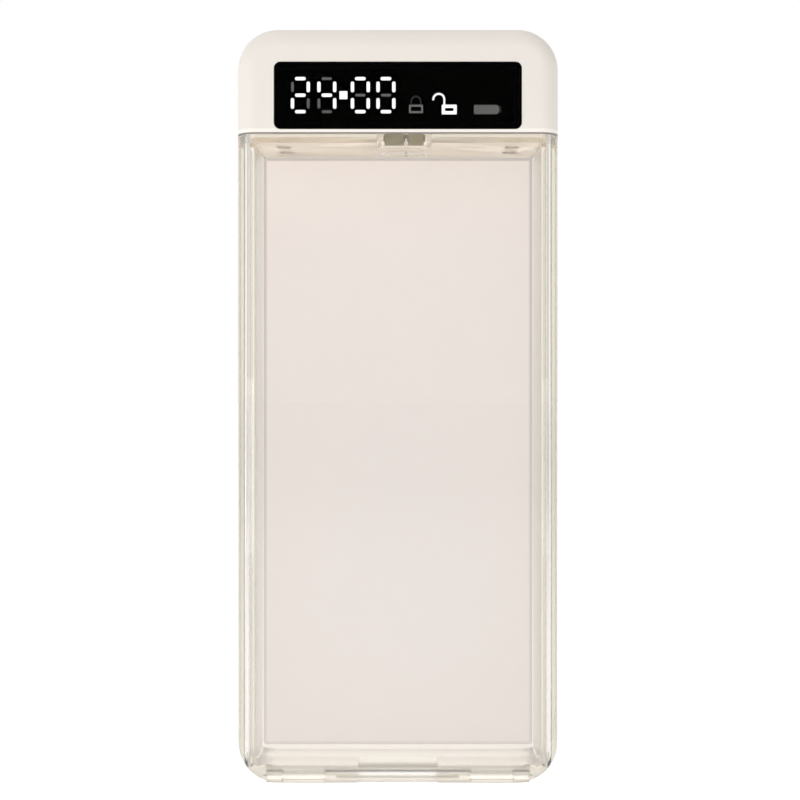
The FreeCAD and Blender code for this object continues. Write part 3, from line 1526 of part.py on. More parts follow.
def make_gears():
    """The axle, the double gear on it, and the pinion on the motor's shaft."""
    bore = value("axle_radius") + value("pin_clearance")
    thick = value("bolt_thick")
    gap = value("gear_layer_gap")
    wheel_thick = value("wheel_thick")
    pinion = spur(int(value("pinion_teeth")), thick + gap, 180, True)
    wheel = spur(int(value("wheel_teeth")), wheel_thick, 0, False)
    wheel.translate(Vector(0, thick + gap, 0))
    hole = Part.makeCylinder(bore, thick + gap + wheel_thick, Vector(), Vector(0, 1, 0))
    gear = solid("Double_gear", pinion.fuse(wheel).cut(hole).removeSplitter())
    place(gear, GEAR_X, BOLT_FRONT, GEAR_Z)
    node("double_gear", gear)
    axle = rod("Gear_axle", "y", "axle_radius", FRONT_PLATE_FRONT, REAR_PLATE_BACK, (GEAR_X, GEAR_Z))
    node("gear_axle", axle)

    shaft_hole = Part.makeCylinder(value("axle_radius"), wheel_thick, Vector(), Vector(0, 1, 0))
    motor_pinion = spur(int(value("motor_pinion_teeth")), wheel_thick, 180, True).cut(shaft_hole)
    driver = solid("Motor_pinion", motor_pinion)
    place(driver, MOTOR_X, WHEEL_FRONT, GEAR_Z)
    node("motor_pinion", driver)
    shaft_front = f"({WHEEL_FRONT} - gear_layer_gap / 2)"
    shaft = rod("Motor_shaft", "y", "axle_radius", shaft_front, SHAFT_END, (MOTOR_X, GEAR_Z))
    node("motor_shaft", shaft)


SHAFT_END = f"({REAR_PLATE_BACK} + motor_boss_radius)"


def motor_screw_places():
    """Where the motor's two screws go through the frame's rear plate."""
    return [(MOTOR_X, f"{GEAR_Z} + {way} * motor_screw_spacing / 2") for way in (-1, 1)]


def make_motor():
    """The motor's body with its front boss, and its two screws."""
    back = f"({HEAD_BACK_IN} - motor_back_gap)"
    can = front_plate(
        "Motor_can",
        MOTOR_X,
        GEAR_Z,
        "motor_height",
        "motor_width",
        "motor_height / 4",
        REAR_PLATE_BACK,
        f"{back} - {REAR_PLATE_BACK}",
    )
    boss = rod("Motor_boss", "y", "motor_boss_radius", REAR_PLATE_FRONT, REAR_PLATE_BACK, (MOTOR_X, GEAR_Z))
    cap = rod("Motor_end_cap", "y", "motor_boss_radius", back, f"{back} + part_gap", (MOTOR_X, GEAR_Z))
    shaft_bore = "axle_radius + pin_clearance"
    holes = [
        rod("Motor_bore", "y", shaft_bore, REAR_PLATE_FRONT, f"{SHAFT_END} + part_gap", (MOTOR_X, GEAR_Z))
    ]
    screws = []
    for index, across in enumerate(motor_screw_places()):
        pilot_end = f"({REAR_PLATE_FRONT} + frame_screw_reach)"
        holes.append(
            rod(f"Motor_pilot_{index}", "y", "small_screw_radius", REAR_PLATE_BACK, pilot_end, across)
        )
        screws.append(
            screw(
                f"Motor_screw_{index}",
                "y",
                1,
                REAR_PLATE_FRONT,
                across,
                "small_screw_radius",
                "frame_screw_reach",
                "motor_screw_head_radius",
                "motor_screw_head",
            )
        )
    node("lock_motor", cut("Lock_motor", join("Motor_body", can, boss, cap), *holes))
    node("motor_screws", group("Motor_screws", *screws))


# ---------------------------------------------------------------- build and write
make_tray()
make_liner()
make_lid()
make_hinge_pins()
cavity_form = head_cavity()
make_front_shell(cavity_form)
make_rear_shell(cavity_form)
make_case_screws()
make_floor()
make_tray_screws()
make_window()
make_display_module()
make_main_board()
make_port()
make_battery()
make_buttons()
make_button_board()
make_bolt()
make_lock_frame()
make_gears()
make_motor()
doc.recompute()

for item in doc.Objects:
    if "Invalid" in item.State or "Error" in item.State:
        raise RuntimeError(f"{item.Name} failed: {item.State}")
for name, item in NODES.items():
    if item.Shape.isNull() or not item.Shape.isValid():
        raise RuntimeError(f"{name} has no valid shape")
for name, item in NODES.items():
    item.Shape.exportStep(f"parts/{name}.step")
print(f"{len(NODES)} sub-parts written")
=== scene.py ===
import json
import math

import bmesh
import bpy
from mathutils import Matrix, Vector

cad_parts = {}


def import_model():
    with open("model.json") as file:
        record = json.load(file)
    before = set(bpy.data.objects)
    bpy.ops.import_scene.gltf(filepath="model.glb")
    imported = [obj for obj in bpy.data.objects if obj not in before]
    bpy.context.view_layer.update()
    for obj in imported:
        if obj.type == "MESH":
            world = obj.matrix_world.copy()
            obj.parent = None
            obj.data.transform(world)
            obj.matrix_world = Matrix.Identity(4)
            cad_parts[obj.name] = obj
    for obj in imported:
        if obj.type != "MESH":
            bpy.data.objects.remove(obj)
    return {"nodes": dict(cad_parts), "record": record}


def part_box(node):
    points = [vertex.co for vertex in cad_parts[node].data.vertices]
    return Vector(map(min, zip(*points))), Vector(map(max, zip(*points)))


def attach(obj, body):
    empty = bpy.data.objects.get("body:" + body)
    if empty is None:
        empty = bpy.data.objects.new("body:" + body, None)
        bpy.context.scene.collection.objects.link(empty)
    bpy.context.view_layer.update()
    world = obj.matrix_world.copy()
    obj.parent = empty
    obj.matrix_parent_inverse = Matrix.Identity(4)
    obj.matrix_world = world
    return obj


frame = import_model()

MM = 0.001
LOW, HIGH = 0, 1
X, Y, Z = 0, 1, 2
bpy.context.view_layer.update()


# ---------------------------------------------------------------- places taken from the frame
def end_of(node, end, axis):
    """Where a node's box ends along an axis, in metres."""
    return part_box(node)[end][axis]


PART_GAP = 0.3 * MM
LINER_SIDE_GAP = 0.15 * MM
LINER_END_GAP = 0.2 * MM
RIM = end_of("head_front_shell", LOW, Z)
CAVITY_HALF = end_of("liner_pad", HIGH, X) + LINER_SIDE_GAP
FLOOR_FACE = end_of("liner_pad", LOW, Z) - LINER_END_GAP
SHELF_FACE = end_of("liner_pad", HIGH, Z) + LINER_END_GAP
SHELF_FRONT = end_of("head_floor", LOW, Y)
SKIRT_INNER = end_of("head_floor", HIGH, X) + PART_GAP


# ---------------------------------------------------------------- camera
# The view is straight on, a little above the box's middle.
CAMERA_PLACE = (0.0006, -0.457, 0.1085)
CAMERA_LENS = 70.7
SENSOR_WIDTH = 36
camera_data = bpy.data.cameras.new("camera")
camera_data.lens = CAMERA_LENS
camera_data.sensor_width = SENSOR_WIDTH
camera_data.clip_start = 10 * MM
camera = bpy.data.objects.new("camera", camera_data)
camera.location = CAMERA_PLACE
camera.rotation_euler = (math.radians(90), 0, 0)
bpy.context.scene.collection.objects.link(camera)
bpy.context.scene.camera = camera

# Light crosses many clear walls before it comes back from the liner.
BOUNCES = 28
bpy.context.scene.cycles.max_bounces = BOUNCES
bpy.context.scene.cycles.transmission_bounces = BOUNCES
bpy.context.scene.cycles.transparent_max_bounces = BOUNCES


# ---------------------------------------------------------------- material kit
def srgb(red, green, blue):
    """Linear colour with alpha from 0-255 display values."""

    def linear(level):
        level /= 255
        return level / 12.92 if level <= 0.04045 else ((level + 0.055) / 1.055) ** 2.4

    return (linear(red), linear(green), linear(blue), 1)


WHITE = (1, 1, 1, 1)
# A Mix node has sockets for every kind of value; these are the places of the ones for colours.
MIX_FIRST, MIX_SECOND, MIX_RESULT = 6, 7, 2
# How far apart a wave texture's bands lie at a scale of 1.
WAVE_REPEAT = math.pi / 10


def shade(colour, factor):
    """A colour made lighter or darker."""
    return tuple(min(1, channel * factor) for channel in colour[:3]) + (1,)


class Finish:
    """A node material built around one Principled shader, in the object's own coordinates."""

    def __init__(self, name, **sockets):
        self.mat = bpy.data.materials.new(name)
        self.mat.use_nodes = True
        self.tree = self.mat.node_tree
        self.shader = self.tree.nodes["Principled BSDF"]
        for key, number in sockets.items():
            self.shader.inputs[key.replace("_", " ")].default_value = number
        self.place = self.tree.nodes.new("ShaderNodeTexCoord").outputs["Object"]

    def link(self, start, end):
        self.tree.links.new(start, end)

    def stretched(self, x, y, z):
        """The coordinates, squeezed by these factors, for grain that runs one way."""
        mapping = self.tree.nodes.new("ShaderNodeMapping")
        mapping.inputs["Scale"].default_value = (x, y, z)
        self.link(self.place, mapping.inputs["Vector"])
        return mapping.outputs["Vector"]

    def noise(self, size, detail=3, rough=0.5, distortion=0, vector=None):
        """Noise whose blobs are about size metres across."""
        node = self.tree.nodes.new("ShaderNodeTexNoise")
        node.inputs["Scale"].default_value = 1 / size
        node.inputs["Detail"].default_value = detail
        node.inputs["Roughness"].default_value = rough
        node.inputs["Distortion"].default_value = distortion
        self.link(vector or self.place, node.inputs["Vector"])
        return node.outputs["Fac"]

    def cells(self, size, feature="F1", vector=None):
        """Voronoi cells about size metres across."""
        node = self.tree.nodes.new("ShaderNodeTexVoronoi")
        node.feature = feature
        node.inputs["Scale"].default_value = 1 / size
        self.link(vector or self.place, node.inputs["Vector"])
        return node.outputs["Distance"]

    def waves(self, size, direction):
        """Straight bands size metres apart."""
        node = self.tree.nodes.new("ShaderNodeTexWave")
        node.bands_direction = direction
        node.inputs["Scale"].default_value = WAVE_REPEAT / size
        self.link(self.place, node.inputs["Vector"])
        return node.outputs["Fac"]

    def span(self, source, low, high, start=0.3, end=0.7):
        """source between start and end, mapped to low..high."""
        node = self.tree.nodes.new("ShaderNodeMapRange")
        node.inputs["From Min"].default_value = start
        node.inputs["From Max"].default_value = end
        node.inputs["To Min"].default_value = low
        node.inputs["To Max"].default_value = high
        self.link(source, node.inputs["Value"])
        return node.outputs["Result"]

    def axis(self, letter):
        """One of the three coordinates, in metres."""
        node = self.tree.nodes.new("ShaderNodeSeparateXYZ")
        self.link(self.place, node.inputs[0])
        return node.outputs[letter]

    def measured(self, operation, direction=None):
        """The distance from the origin, or the share of it that runs in a direction."""
        node = self.tree.nodes.new("ShaderNodeVectorMath")
        node.operation = operation
        if direction is None:
            self.link(self.place, node.inputs[0])
            return node.outputs["Value"]
        unit = self.tree.nodes.new("ShaderNodeVectorMath")
        unit.operation = "NORMALIZE"
        self.link(self.place, unit.inputs[0])
        self.link(unit.outputs["Vector"], node.inputs[0])
        node.inputs[1].default_value = direction
        return node.outputs["Value"]

    def combine(self, first, second, operation="ADD"):
        """Arithmetic on two levels; each is a number or a socket."""
        node = self.tree.nodes.new("ShaderNodeMath")
        node.operation = operation
        for socket, source in zip(node.inputs, (first, second)):
            if isinstance(source, (int, float)):
                socket.default_value = source
            else:
                self.link(source, socket)
        return node.outputs[0]

    def largest(self, *levels):
        """The highest of several levels."""
        highest = levels[0]
        for level in levels[1:]:
            highest = self.combine(highest, level, "MAXIMUM")
        return highest

    def off(self, letter, middle=0):
        """How far a coordinate lies from middle, on either side of it."""
        return self.combine(self.combine(self.axis(letter), middle, "SUBTRACT"), 0, "ABSOLUTE")

    def blend(self, factor, first, second):
        """Colour from first to second by factor; each is a colour or a socket."""
        node = self.tree.nodes.new("ShaderNodeMix")
        node.data_type = "RGBA"
        self.link(factor, node.inputs[0])
        for socket, source in zip((node.inputs[MIX_FIRST], node.inputs[MIX_SECOND]), (first, second)):
            if isinstance(source, tuple):
                socket.default_value = source
            else:
                self.link(source, socket)
        return node.outputs[MIX_RESULT]

    def mottle(self, level, colour, dark=0.985, light=1.01):
        """A colour that drifts between two shades of itself with a noise level."""
        return self.blend(self.span(level, 0, 1), shade(colour, dark), shade(colour, light))

    def colour(self, source):
        self.link(source, self.shader.inputs["Base Color"])

    def roughness(self, source):
        self.link(source, self.shader.inputs["Roughness"])

    def relief(self, height, depth, strength=1.0):
        """Bump of depth metres; further calls stack."""
        node = self.tree.nodes.new("ShaderNodeBump")
        node.inputs["Strength"].default_value = strength
        node.inputs["Distance"].default_value = depth
        self.link(height, node.inputs["Height"])
        socket = self.shader.inputs["Normal"]
        if socket.links:
            self.link(socket.links[0].from_socket, node.inputs["Normal"])
        self.link(node.outputs["Normal"], socket)

    def soft_edges(self, radius):
        """Edges that catch the light as if they were rounded."""
        node = self.tree.nodes.new("ShaderNodeBevel")
        node.samples = 6
        node.inputs["Radius"].default_value = radius
        self.link(node.outputs["Normal"], self.shader.inputs["Normal"])

    def soak(self, colour, density):
        """The tint that clear plastic gets with depth."""
        volume = self.tree.nodes.new("ShaderNodeVolumeAbsorption")
        volume.inputs["Color"].default_value = colour
        volume.inputs["Density"].default_value = density
        self.link(volume.outputs["Volume"], self.tree.nodes["Material Output"].inputs["Volume"])

    def let_lamps_through(self, tint):
        """Lamps light what lies behind the clear walls, as they do through real polished plastic."""
        path = self.tree.nodes.new("ShaderNodeLightPath")
        unseen = self.combine(path.outputs["Is Shadow Ray"], path.outputs["Is Diffuse Ray"], "MAXIMUM")
        clear = self.tree.nodes.new("ShaderNodeBsdfTransparent")
        clear.inputs["Color"].default_value = tint
        mix = self.tree.nodes.new("ShaderNodeMixShader")
        self.link(unseen, mix.inputs[0])
        self.link(self.shader.outputs[0], mix.inputs[1])
        self.link(clear.outputs[0], mix.inputs[2])
        self.link(mix.outputs[0], self.tree.nodes["Material Output"].inputs["Surface"])


# A painted highlight strip and a painted seam shadow along a moulding's lower rim.
HIGHLIGHT_STRIP_HEIGHT = 1.1 * MM
HIGHLIGHT_STRIP_FADE = 0.3 * MM
HIGHLIGHT_STRIP_SHADE = 1.14
SEAM_HEIGHT = 0.12 * MM
SEAM_FADE = 0.18 * MM
SEAM_SHADE = 0.3


def rim_shadow_and_highlight(finish, tone, colour, rim):
    """A moulding's lower rim, with painted light: a painted shadow along the parting line and a painted
    highlight strip above it.
    """
    height = finish.axis("Z")
    highlight_strip = finish.span(height, 1, 0, rim + HIGHLIGHT_STRIP_HEIGHT, rim + HIGHLIGHT_STRIP_HEIGHT + HIGHLIGHT_STRIP_FADE)
    seam = finish.span(height, 1, 0, rim + SEAM_HEIGHT, rim + SEAM_HEIGHT + SEAM_FADE)
    tone = finish.blend(highlight_strip, tone, shade(colour, HIGHLIGHT_STRIP_SHADE))
    return finish.blend(seam, tone, shade(colour, SEAM_SHADE))


def moulded(name, colour, rough=0.46, grain=0.35 * MM, depth=0.012 * MM, rim=None):
    """Opaque moulded plastic with a fine spark-eroded texture and slight mottling."""
    finish = Finish(name, IOR=1.5)
    broad = finish.noise(28 * MM, detail=3)
    fine = finish.noise(grain, detail=2, rough=0.6)
    specks = finish.noise(grain / 2, detail=1)
    tone = finish.mottle(broad, colour)
    tone = finish.blend(finish.span(specks, 0, 0.25, 0.55, 0.75), tone, shade(colour, 0.93))
    # Given a rim, the colour gets a painted seam shadow and a painted highlight strip above it.
    finish.colour(tone if rim is None else rim_shadow_and_highlight(finish, tone, colour, rim))
    texture = finish.combine(fine, broad, "MULTIPLY")
    finish.roughness(finish.span(texture, rough - 0.05, rough + 0.06, 0.1, 0.4))
    finish.soft_edges(0.3 * MM)
    finish.relief(fine, depth, 0.6)
    return finish.mat


INNER_FACE_ROUGHNESS = 0.3
EDGE_ROUGHNESS = 0.12
FOOT_ROUGHNESS = 0.3
SHELF_ROUGHNESS = 0.3
SURFACE_TINT = (0.992, 0.982, 0.962, 1)
LAMP_TINT = (0.995, 0.993, 0.99, 1)
DEPTH_TINT = (0.62, 0.5, 0.24, 1)
TINT_DENSITY = 9


def before(face):
    """Two places just short of a face, between which a finish changes."""
    return face - 0.3 * MM, face - 0.1 * MM


def clear_plastic():
    """Clear plastic with a warm tint.

    It is polished but for the cavity's sides, the outer edges, the foot and the shelf under the head.
    """
    finish = Finish("clear_plastic", Base_Color=SURFACE_TINT, Transmission_Weight=1.0, IOR=1.54)
    smudge = finish.noise(22 * MM, detail=4, rough=0.6, distortion=0.4)
    hair = finish.noise(0.5 * MM, detail=2, vector=finish.stretched(1, 1, 0.06))
    marks = finish.span(hair, 0, 0.035, 0.66, 0.8)
    polished = finish.combine(finish.span(smudge, 0.008, 0.03), marks)
    across = finish.off("X")
    inner_face = finish.combine(finish.combine(across, CAVITY_HALF, "SUBTRACT"), 0, "ABSOLUTE")
    matt_inside = finish.span(inner_face, INNER_FACE_ROUGHNESS, 0, 0.1 * MM, 0.2 * MM)
    matt_edge = finish.span(across, 0, EDGE_ROUGHNESS, *before(SKIRT_INNER))
    height = finish.axis("Z")
    matt_foot = finish.span(height, FOOT_ROUGHNESS, 0, *before(FLOOR_FACE))
    on_shelf = finish.span(height, 0, SHELF_ROUGHNESS, *before(SHELF_FACE))
    in_tray = finish.span(finish.axis("Y"), 0, 1, *before(SHELF_FRONT))
    matt_shelf = finish.combine(on_shelf, in_tray, "MULTIPLY")
    finish.roughness(finish.largest(polished, matt_inside, matt_edge, matt_foot, matt_shelf))
    finish.relief(finish.noise(35 * MM, detail=1), 0.004 * MM, 0.5)
    finish.let_lamps_through(LAMP_TINT)
    finish.soak(DEPTH_TINT, TINT_DENSITY)
    return finish.mat


# Painted shade along the liner's cut edges, where it meets the tray's walls.
CUT_EDGE = 1.1 * MM
CUT_EDGE_FADE = 0.4 * MM
CUT_EDGE_PAINTED_SHADE = 0.68
LINER_FOOT_PAINTED_SHADE = 0.79


def felt(name, colour, node):
    """Short dense pile, with painted shade: darker towards the foot of its node, evening out the
    stronger light low down, and darker along the cut edges.
    """
    finish = Finish(name, Sheen_Weight=0.12, Sheen_Roughness=0.6, Specular_IOR_Level=0.15)
    pile = finish.noise(0.28 * MM, detail=4, rough=0.7, distortion=0.8)
    tufts = finish.cells(0.55 * MM)
    broad = finish.noise(40 * MM, detail=2)
    tone = finish.mottle(broad, colour)
    tone = finish.blend(finish.span(pile, 0, 0.35), tone, shade(colour, 0.9))
    low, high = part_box(node)
    # Painted shade in a band along the cut edges.
    edge_painted_shade = []
    for letter, axis in (("X", X), ("Z", Z)):
        middle = (low[axis] + high[axis]) / 2
        edge = (high[axis] - low[axis]) / 2 - CUT_EDGE
        edge_painted_shade.append(finish.span(finish.off(letter, middle), 0, 1, edge, edge + CUT_EDGE_FADE))
    # Painted shade that darkens the pile towards the foot, evening out the stronger light low down.
    foot_painted_shade = finish.span(finish.axis("Z"), 1, 0, low[Z], high[Z])
    tone = finish.blend(foot_painted_shade, tone, shade(colour, LINER_FOOT_PAINTED_SHADE))
    finish.colour(finish.blend(finish.largest(*edge_painted_shade), tone, shade(colour, CUT_EDGE_PAINTED_SHADE)))
    finish.roughness(finish.span(pile, 0.9, 1.0))
    finish.relief(tufts, 0.08 * MM, 0.25)
    finish.relief(pile, 0.06 * MM, 0.35)
    return finish.mat


def metal(name, colour, rough=0.3, along=(1, 1, 1), grain=0.12 * MM):
    """Bare or plated metal with a fine grain that may run one way."""
    finish = Finish(name, Metallic=1.0)
    streaks = finish.noise(grain, detail=3, rough=0.6, vector=finish.stretched(*along))
    broad = finish.noise(4 * MM, detail=2)
    finish.colour(finish.mottle(broad, colour, 0.9, 1.05))
    finish.roughness(finish.span(streaks, rough - 0.08, rough + 0.1))
    finish.relief(streaks, 0.004 * MM, 0.4)
    return finish.mat


def foil(name, colour):
    """Crinkled foil of a pouch cell."""
    finish = Finish(name, Metallic=1.0)
    folds = finish.noise(5 * MM, detail=4, rough=0.55, distortion=1.2)
    fine = finish.noise(0.5 * MM, detail=2)
    finish.colour(finish.mottle(folds, colour, 0.88, 1.05))
    finish.roughness(finish.span(fine, 0.28, 0.42))
    finish.relief(folds, 0.15 * MM, 0.5)
    return finish.mat


def foam(name, colour):
    """Closed-cell foam tape."""
    finish = Finish(name)
    bubbles = finish.cells(0.3 * MM)
    walls = finish.span(bubbles, 0, 1, 0.1, 0.6)
    finish.colour(finish.blend(walls, shade(colour, 0.6), shade(colour, 1.4)))
    finish.roughness(finish.span(bubbles, 0.85, 0.98, 0, 1))
    finish.relief(bubbles, 0.08 * MM, 0.6)
    return finish.mat


def laminate(name, colour, copper):
    """Circuit board: solder mask over the weave, with the copper areas showing a tone lighter."""
    finish = Finish(name, IOR=1.5, Coat_Weight=0.4, Coat_Roughness=0.15)
    weave = finish.combine(finish.waves(0.5 * MM, "X"), finish.waves(0.5 * MM, "Z"), "MULTIPLY")
    areas = finish.cells(2.2 * MM, feature="DISTANCE_TO_EDGE", vector=finish.stretched(1, 1, 1.6))
    tone = finish.blend(finish.span(areas, 0, 1, 0.1, 0.16), colour, copper)
    finish.colour(finish.blend(finish.span(weave, 0, 0.25, 0.2, 0.9), tone, shade(colour, 0.7)))
    finish.roughness(finish.span(weave, 0.3, 0.42, 0, 1))
    finish.relief(finish.span(areas, 0, 1, 0.1, 0.16), 0.03 * MM, 0.7)
    return finish.mat


def lens(name):
    """Smoked polished cover of the display."""
    finish = Finish(name, Base_Color=(0.5, 0.5, 0.5, 1), Transmission_Weight=1.0, IOR=1.06)
    smudge = finish.noise(16 * MM, detail=4, rough=0.6, distortion=0.5)
    finish.roughness(finish.span(smudge, 0.01, 0.045))
    finish.relief(finish.noise(20 * MM, detail=1), 0.01 * MM, 0.4)
    return finish.mat


INK_DARK = (0.0016, 0.0016, 0.0017, 1)
INK_LIGHT = (0.003, 0.003, 0.0031, 1)


def ink(name):
    """Matt black print or light-tight moulding."""
    finish = Finish(name, Specular_IOR_Level=0.02)
    fine = finish.noise(0.25 * MM, detail=3)
    finish.colour(finish.blend(finish.span(fine, 0, 1), INK_DARK, INK_LIGHT))
    finish.roughness(finish.span(fine, 0.72, 0.85))
    finish.relief(fine, 0.01 * MM, 0.5)
    return finish.mat


def glow(name, colour, strength, edge):
    """A lit or unlit display field: milky plastic whose light drifts a little brighter and darker in
    patches.
    """
    finish = Finish(name, Roughness=0.5)
    cloud = finish.noise(1.6 * MM, detail=2)
    finish.colour(finish.mottle(cloud, colour, 0.92, 1))
    light = finish.mottle(cloud, colour, edge, 1)
    finish.link(light, finish.shader.inputs["Emission Color"])
    finish.shader.inputs["Emission Strength"].default_value = strength
    return finish.mat


# ---------------------------------------------------------------- finishes of the CAD nodes
WARM_WHITE = srgb(233, 228, 223)
BEIGE = srgb(252, 244, 233)

finishes = {
    "clear_plastic": clear_plastic(),
    "shell_plastic": moulded("head_plastic", WARM_WHITE, rim=RIM),
    "button_plastic": moulded("button_plastic", WARM_WHITE, rough=0.4, grain=0.25 * MM),
    "floor_plastic": moulded("floor_plastic", BEIGE, rough=0.55),
    "liner_felt": felt("liner_felt", srgb(239, 233, 234), "liner_pad"),
    "window_plastic": lens("window_lens"),
    "mask_plastic": ink("mask_black"),
    "diffuser_plastic": moulded("diffuser_smoke", srgb(66, 67, 70), rough=0.5, grain=0.2 * MM),
    "led_plastic": moulded("led_phosphor", srgb(244, 236, 190), rough=0.35, grain=0.15 * MM),
    "board_laminate": laminate("board_mask", srgb(20, 82, 48), srgb(38, 116, 66)),
    "chip_plastic": moulded("chip_epoxy", srgb(34, 34, 36), rough=0.55, grain=0.15 * MM),
    "plated_metal": metal("plated_metal", srgb(214, 214, 218), rough=0.2),
    "screw_steel": metal("screw_zinc", srgb(186, 188, 194), rough=0.34),
    "screw_nylon": moulded("screw_nylon", srgb(240, 230, 216), rough=0.4, grain=0.2 * MM),
    "pin_steel": metal("pin_steel", srgb(206, 206, 210), rough=0.22, along=(0.2, 1, 1)),
    "pin_plastic": moulded("pin_acetal", srgb(244, 241, 234), rough=0.35, grain=0.2 * MM),
    "cell_foil": foil("cell_foil", srgb(206, 208, 212)),
    "foam_tape": foam("foam_tape", srgb(40, 40, 43)),
    "bolt_plastic": moulded("bolt_acetal", srgb(160, 151, 127), rough=0.42, grain=0.3 * MM),
    "gear_plastic": moulded("gear_acetal", srgb(236, 234, 226), rough=0.38, grain=0.25 * MM),
    "frame_plastic": moulded("frame_nylon", srgb(214, 210, 200), rough=0.5, grain=0.3 * MM),
    "motor_steel": metal("motor_can", srgb(190, 190, 194), rough=0.3, along=(1, 0.15, 1)),
    "magnet_metal": metal("magnet_nickel", srgb(205, 203, 198), rough=0.18),
    "switch_plastic": moulded("switch_black", srgb(38, 38, 41), rough=0.5, grain=0.2 * MM),
    "plunger_plastic": moulded("plunger_acetal", srgb(226, 222, 210), rough=0.4, grain=0.2 * MM),
}
slots = {row["node"]: row["material_slot"] for row in frame["record"]["subparts"]}
for node, piece in frame["nodes"].items():
    finish = finishes[slots[node]]
    if piece.material_slots:
        for slot in piece.material_slots:
            slot.material = finish
    else:
        piece.data.materials.append(finish)


# ---------------------------------------------------------------- display fields
def mesh_object(name, build, finish):
    """A new object from a function that fills a bmesh."""
    form = bmesh.new()
    build(form)
    bmesh.ops.recalc_face_normals(form, faces=form.faces)
    mesh = bpy.data.meshes.new(name)
    form.to_mesh(mesh)
    form.free()
    mesh.materials.append(finish)
    made = bpy.data.objects.new(name, mesh)
    bpy.context.scene.collection.objects.link(made)
    return made


def mesh_piece(name, build, finish, body):
    """A mesh object that rides a body, parented to its empty."""
    piece = mesh_object(name, build, finish)
    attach(piece, body)


def plate(form, outline, front, back):
    """A thin plate in the XZ plane between two depths, from a closed outline in metres."""
    fronts = [form.verts.new((x, front, z)) for x, z in outline]
    backs = [form.verts.new((x, back, z)) for x, z in outline]
    form.faces.new(fronts)
    form.faces.new(backs[::-1])
    count = len(outline)
    for index in range(count):
        after = (index + 1) % count
        form.faces.new((fronts[after], fronts[index], backs[index], backs[after]))


def ring_plate(form, outer, inner, front, back):
    """A plate with one hole; both outlines have the same number of points."""
    loops = []
    for outline, depth in ((outer, front), (inner, front), (inner, back), (outer, back)):
        loops.append([form.verts.new((x, depth, z)) for x, z in outline])
    count = len(outer)
    for start, end in ((0, 1), (1, 2), (2, 3), (3, 0)):
        for index in range(count):
            after = (index + 1) % count
            near, far = loops[start], loops[end]
            form.faces.new((near[index], near[after], far[after], far[index]))


def rounded(x, z, half_width, half_height, corner, steps=8):
    """Outline of a rounded rectangle."""
    points = []
    for turn, (side, up) in enumerate(((1, 1), (-1, 1), (-1, -1), (1, -1))):
        for step in range(steps + 1):
            angle = math.radians(90 * turn + 90 * step / steps)
            points.append(
                (
                    x + side * (half_width - corner) + corner * math.cos(angle),
                    z + up * (half_height - corner) + corner * math.sin(angle),
                )
            )
    return points


ARC_STEPS = 28


def arc_band(x, z, outer, inner, turn):
    """Outline of part of a ring, from the right side round to an angle in degrees."""
    angles = [math.radians(turn * step / ARC_STEPS) for step in range(ARC_STEPS + 1)]
    outside = [(x + outer * math.cos(angle), z + outer * math.sin(angle)) for angle in angles]
    inside = [(x + inner * math.cos(angle), z + inner * math.sin(angle)) for angle in reversed(angles)]
    return outside + inside


DIGITS_Z = RIM + 10.8 * MM
ICON_LOW = RIM + 5.4 * MM
HALF_WIDE = 2.22 * MM
HALF_TALL = 4.65 * MM
STROKE = 0.94 * MM
LENGTH = 3.0 * MM
DIM_STROKE = 0.66 * MM
DIM_LENGTH = 2.75 * MM
# A segment's ends are a hair short of round, so that no two points of its outline fall together.
ROUND_END = 0.999
DIGIT_MIDDLES = (-27.45 * MM, -20 * MM, -10.57 * MM, -3.36 * MM)
LIT = ("abdeg", "bcfg", "abcdef", "abcdef")
SEGMENTS = {
    "a": (0, 1, "flat"),
    "b": (1, 0.5, "tall"),
    "c": (1, -0.5, "tall"),
    "d": (0, -1, "flat"),
    "e": (-1, -0.5, "tall"),
    "f": (-1, 0.5, "tall"),
    "g": (0, 0, "flat"),
}
FIELD_LIFT = 0.03 * MM
FIELD_THICKNESS = 0.025 * MM
FIELD_FRONT = end_of("display_diffuser", LOW, Y) - FIELD_LIFT
FIELD_BACK = FIELD_FRONT + FIELD_THICKNESS


def segment_outlines(wanted):
    """Outlines of the digits' segments that are lit, or of those that aren't."""
    outlines = []
    for middle, lit in zip(DIGIT_MIDDLES, LIT):
        for letter, (across, up, direction) in SEGMENTS.items():
            if (letter in lit) != wanted:
                continue
            stroke, length = (STROKE, LENGTH) if wanted else (DIM_STROKE, DIM_LENGTH)
            half = (stroke / 2, length / 2) if direction == "tall" else (length / 2, stroke / 2)
            x = middle + across * HALF_WIDE
            z = DIGITS_Z + up * HALF_TALL
            outlines.append(rounded(x, z, *half, stroke / 2 * ROUND_END))
    return outlines


DOT_X = -15.33 * MM
DOT_HALF = 1.12 * MM
DOT_CORNER = 0.12 * MM
OPEN_X = 14.46 * MM
OPEN_HALF = 2.1 * MM
OPEN_TALL = 2.72 * MM
OPEN_CORNER = 0.2 * MM
OPEN_SLOT_HALF = 1.25 * MM
OPEN_SLOT_TALL = 0.92 * MM
OPEN_SLOT_CORNER = 0.4 * MM
OPEN_BOW_X = 11.52 * MM
OPEN_BOW_RADIUS = 1.8 * MM
OPEN_BOW_STROKE = 0.5 * MM
OPEN_BOW_LEG = 1.5 * MM
OPEN_BOW_TURN = 188


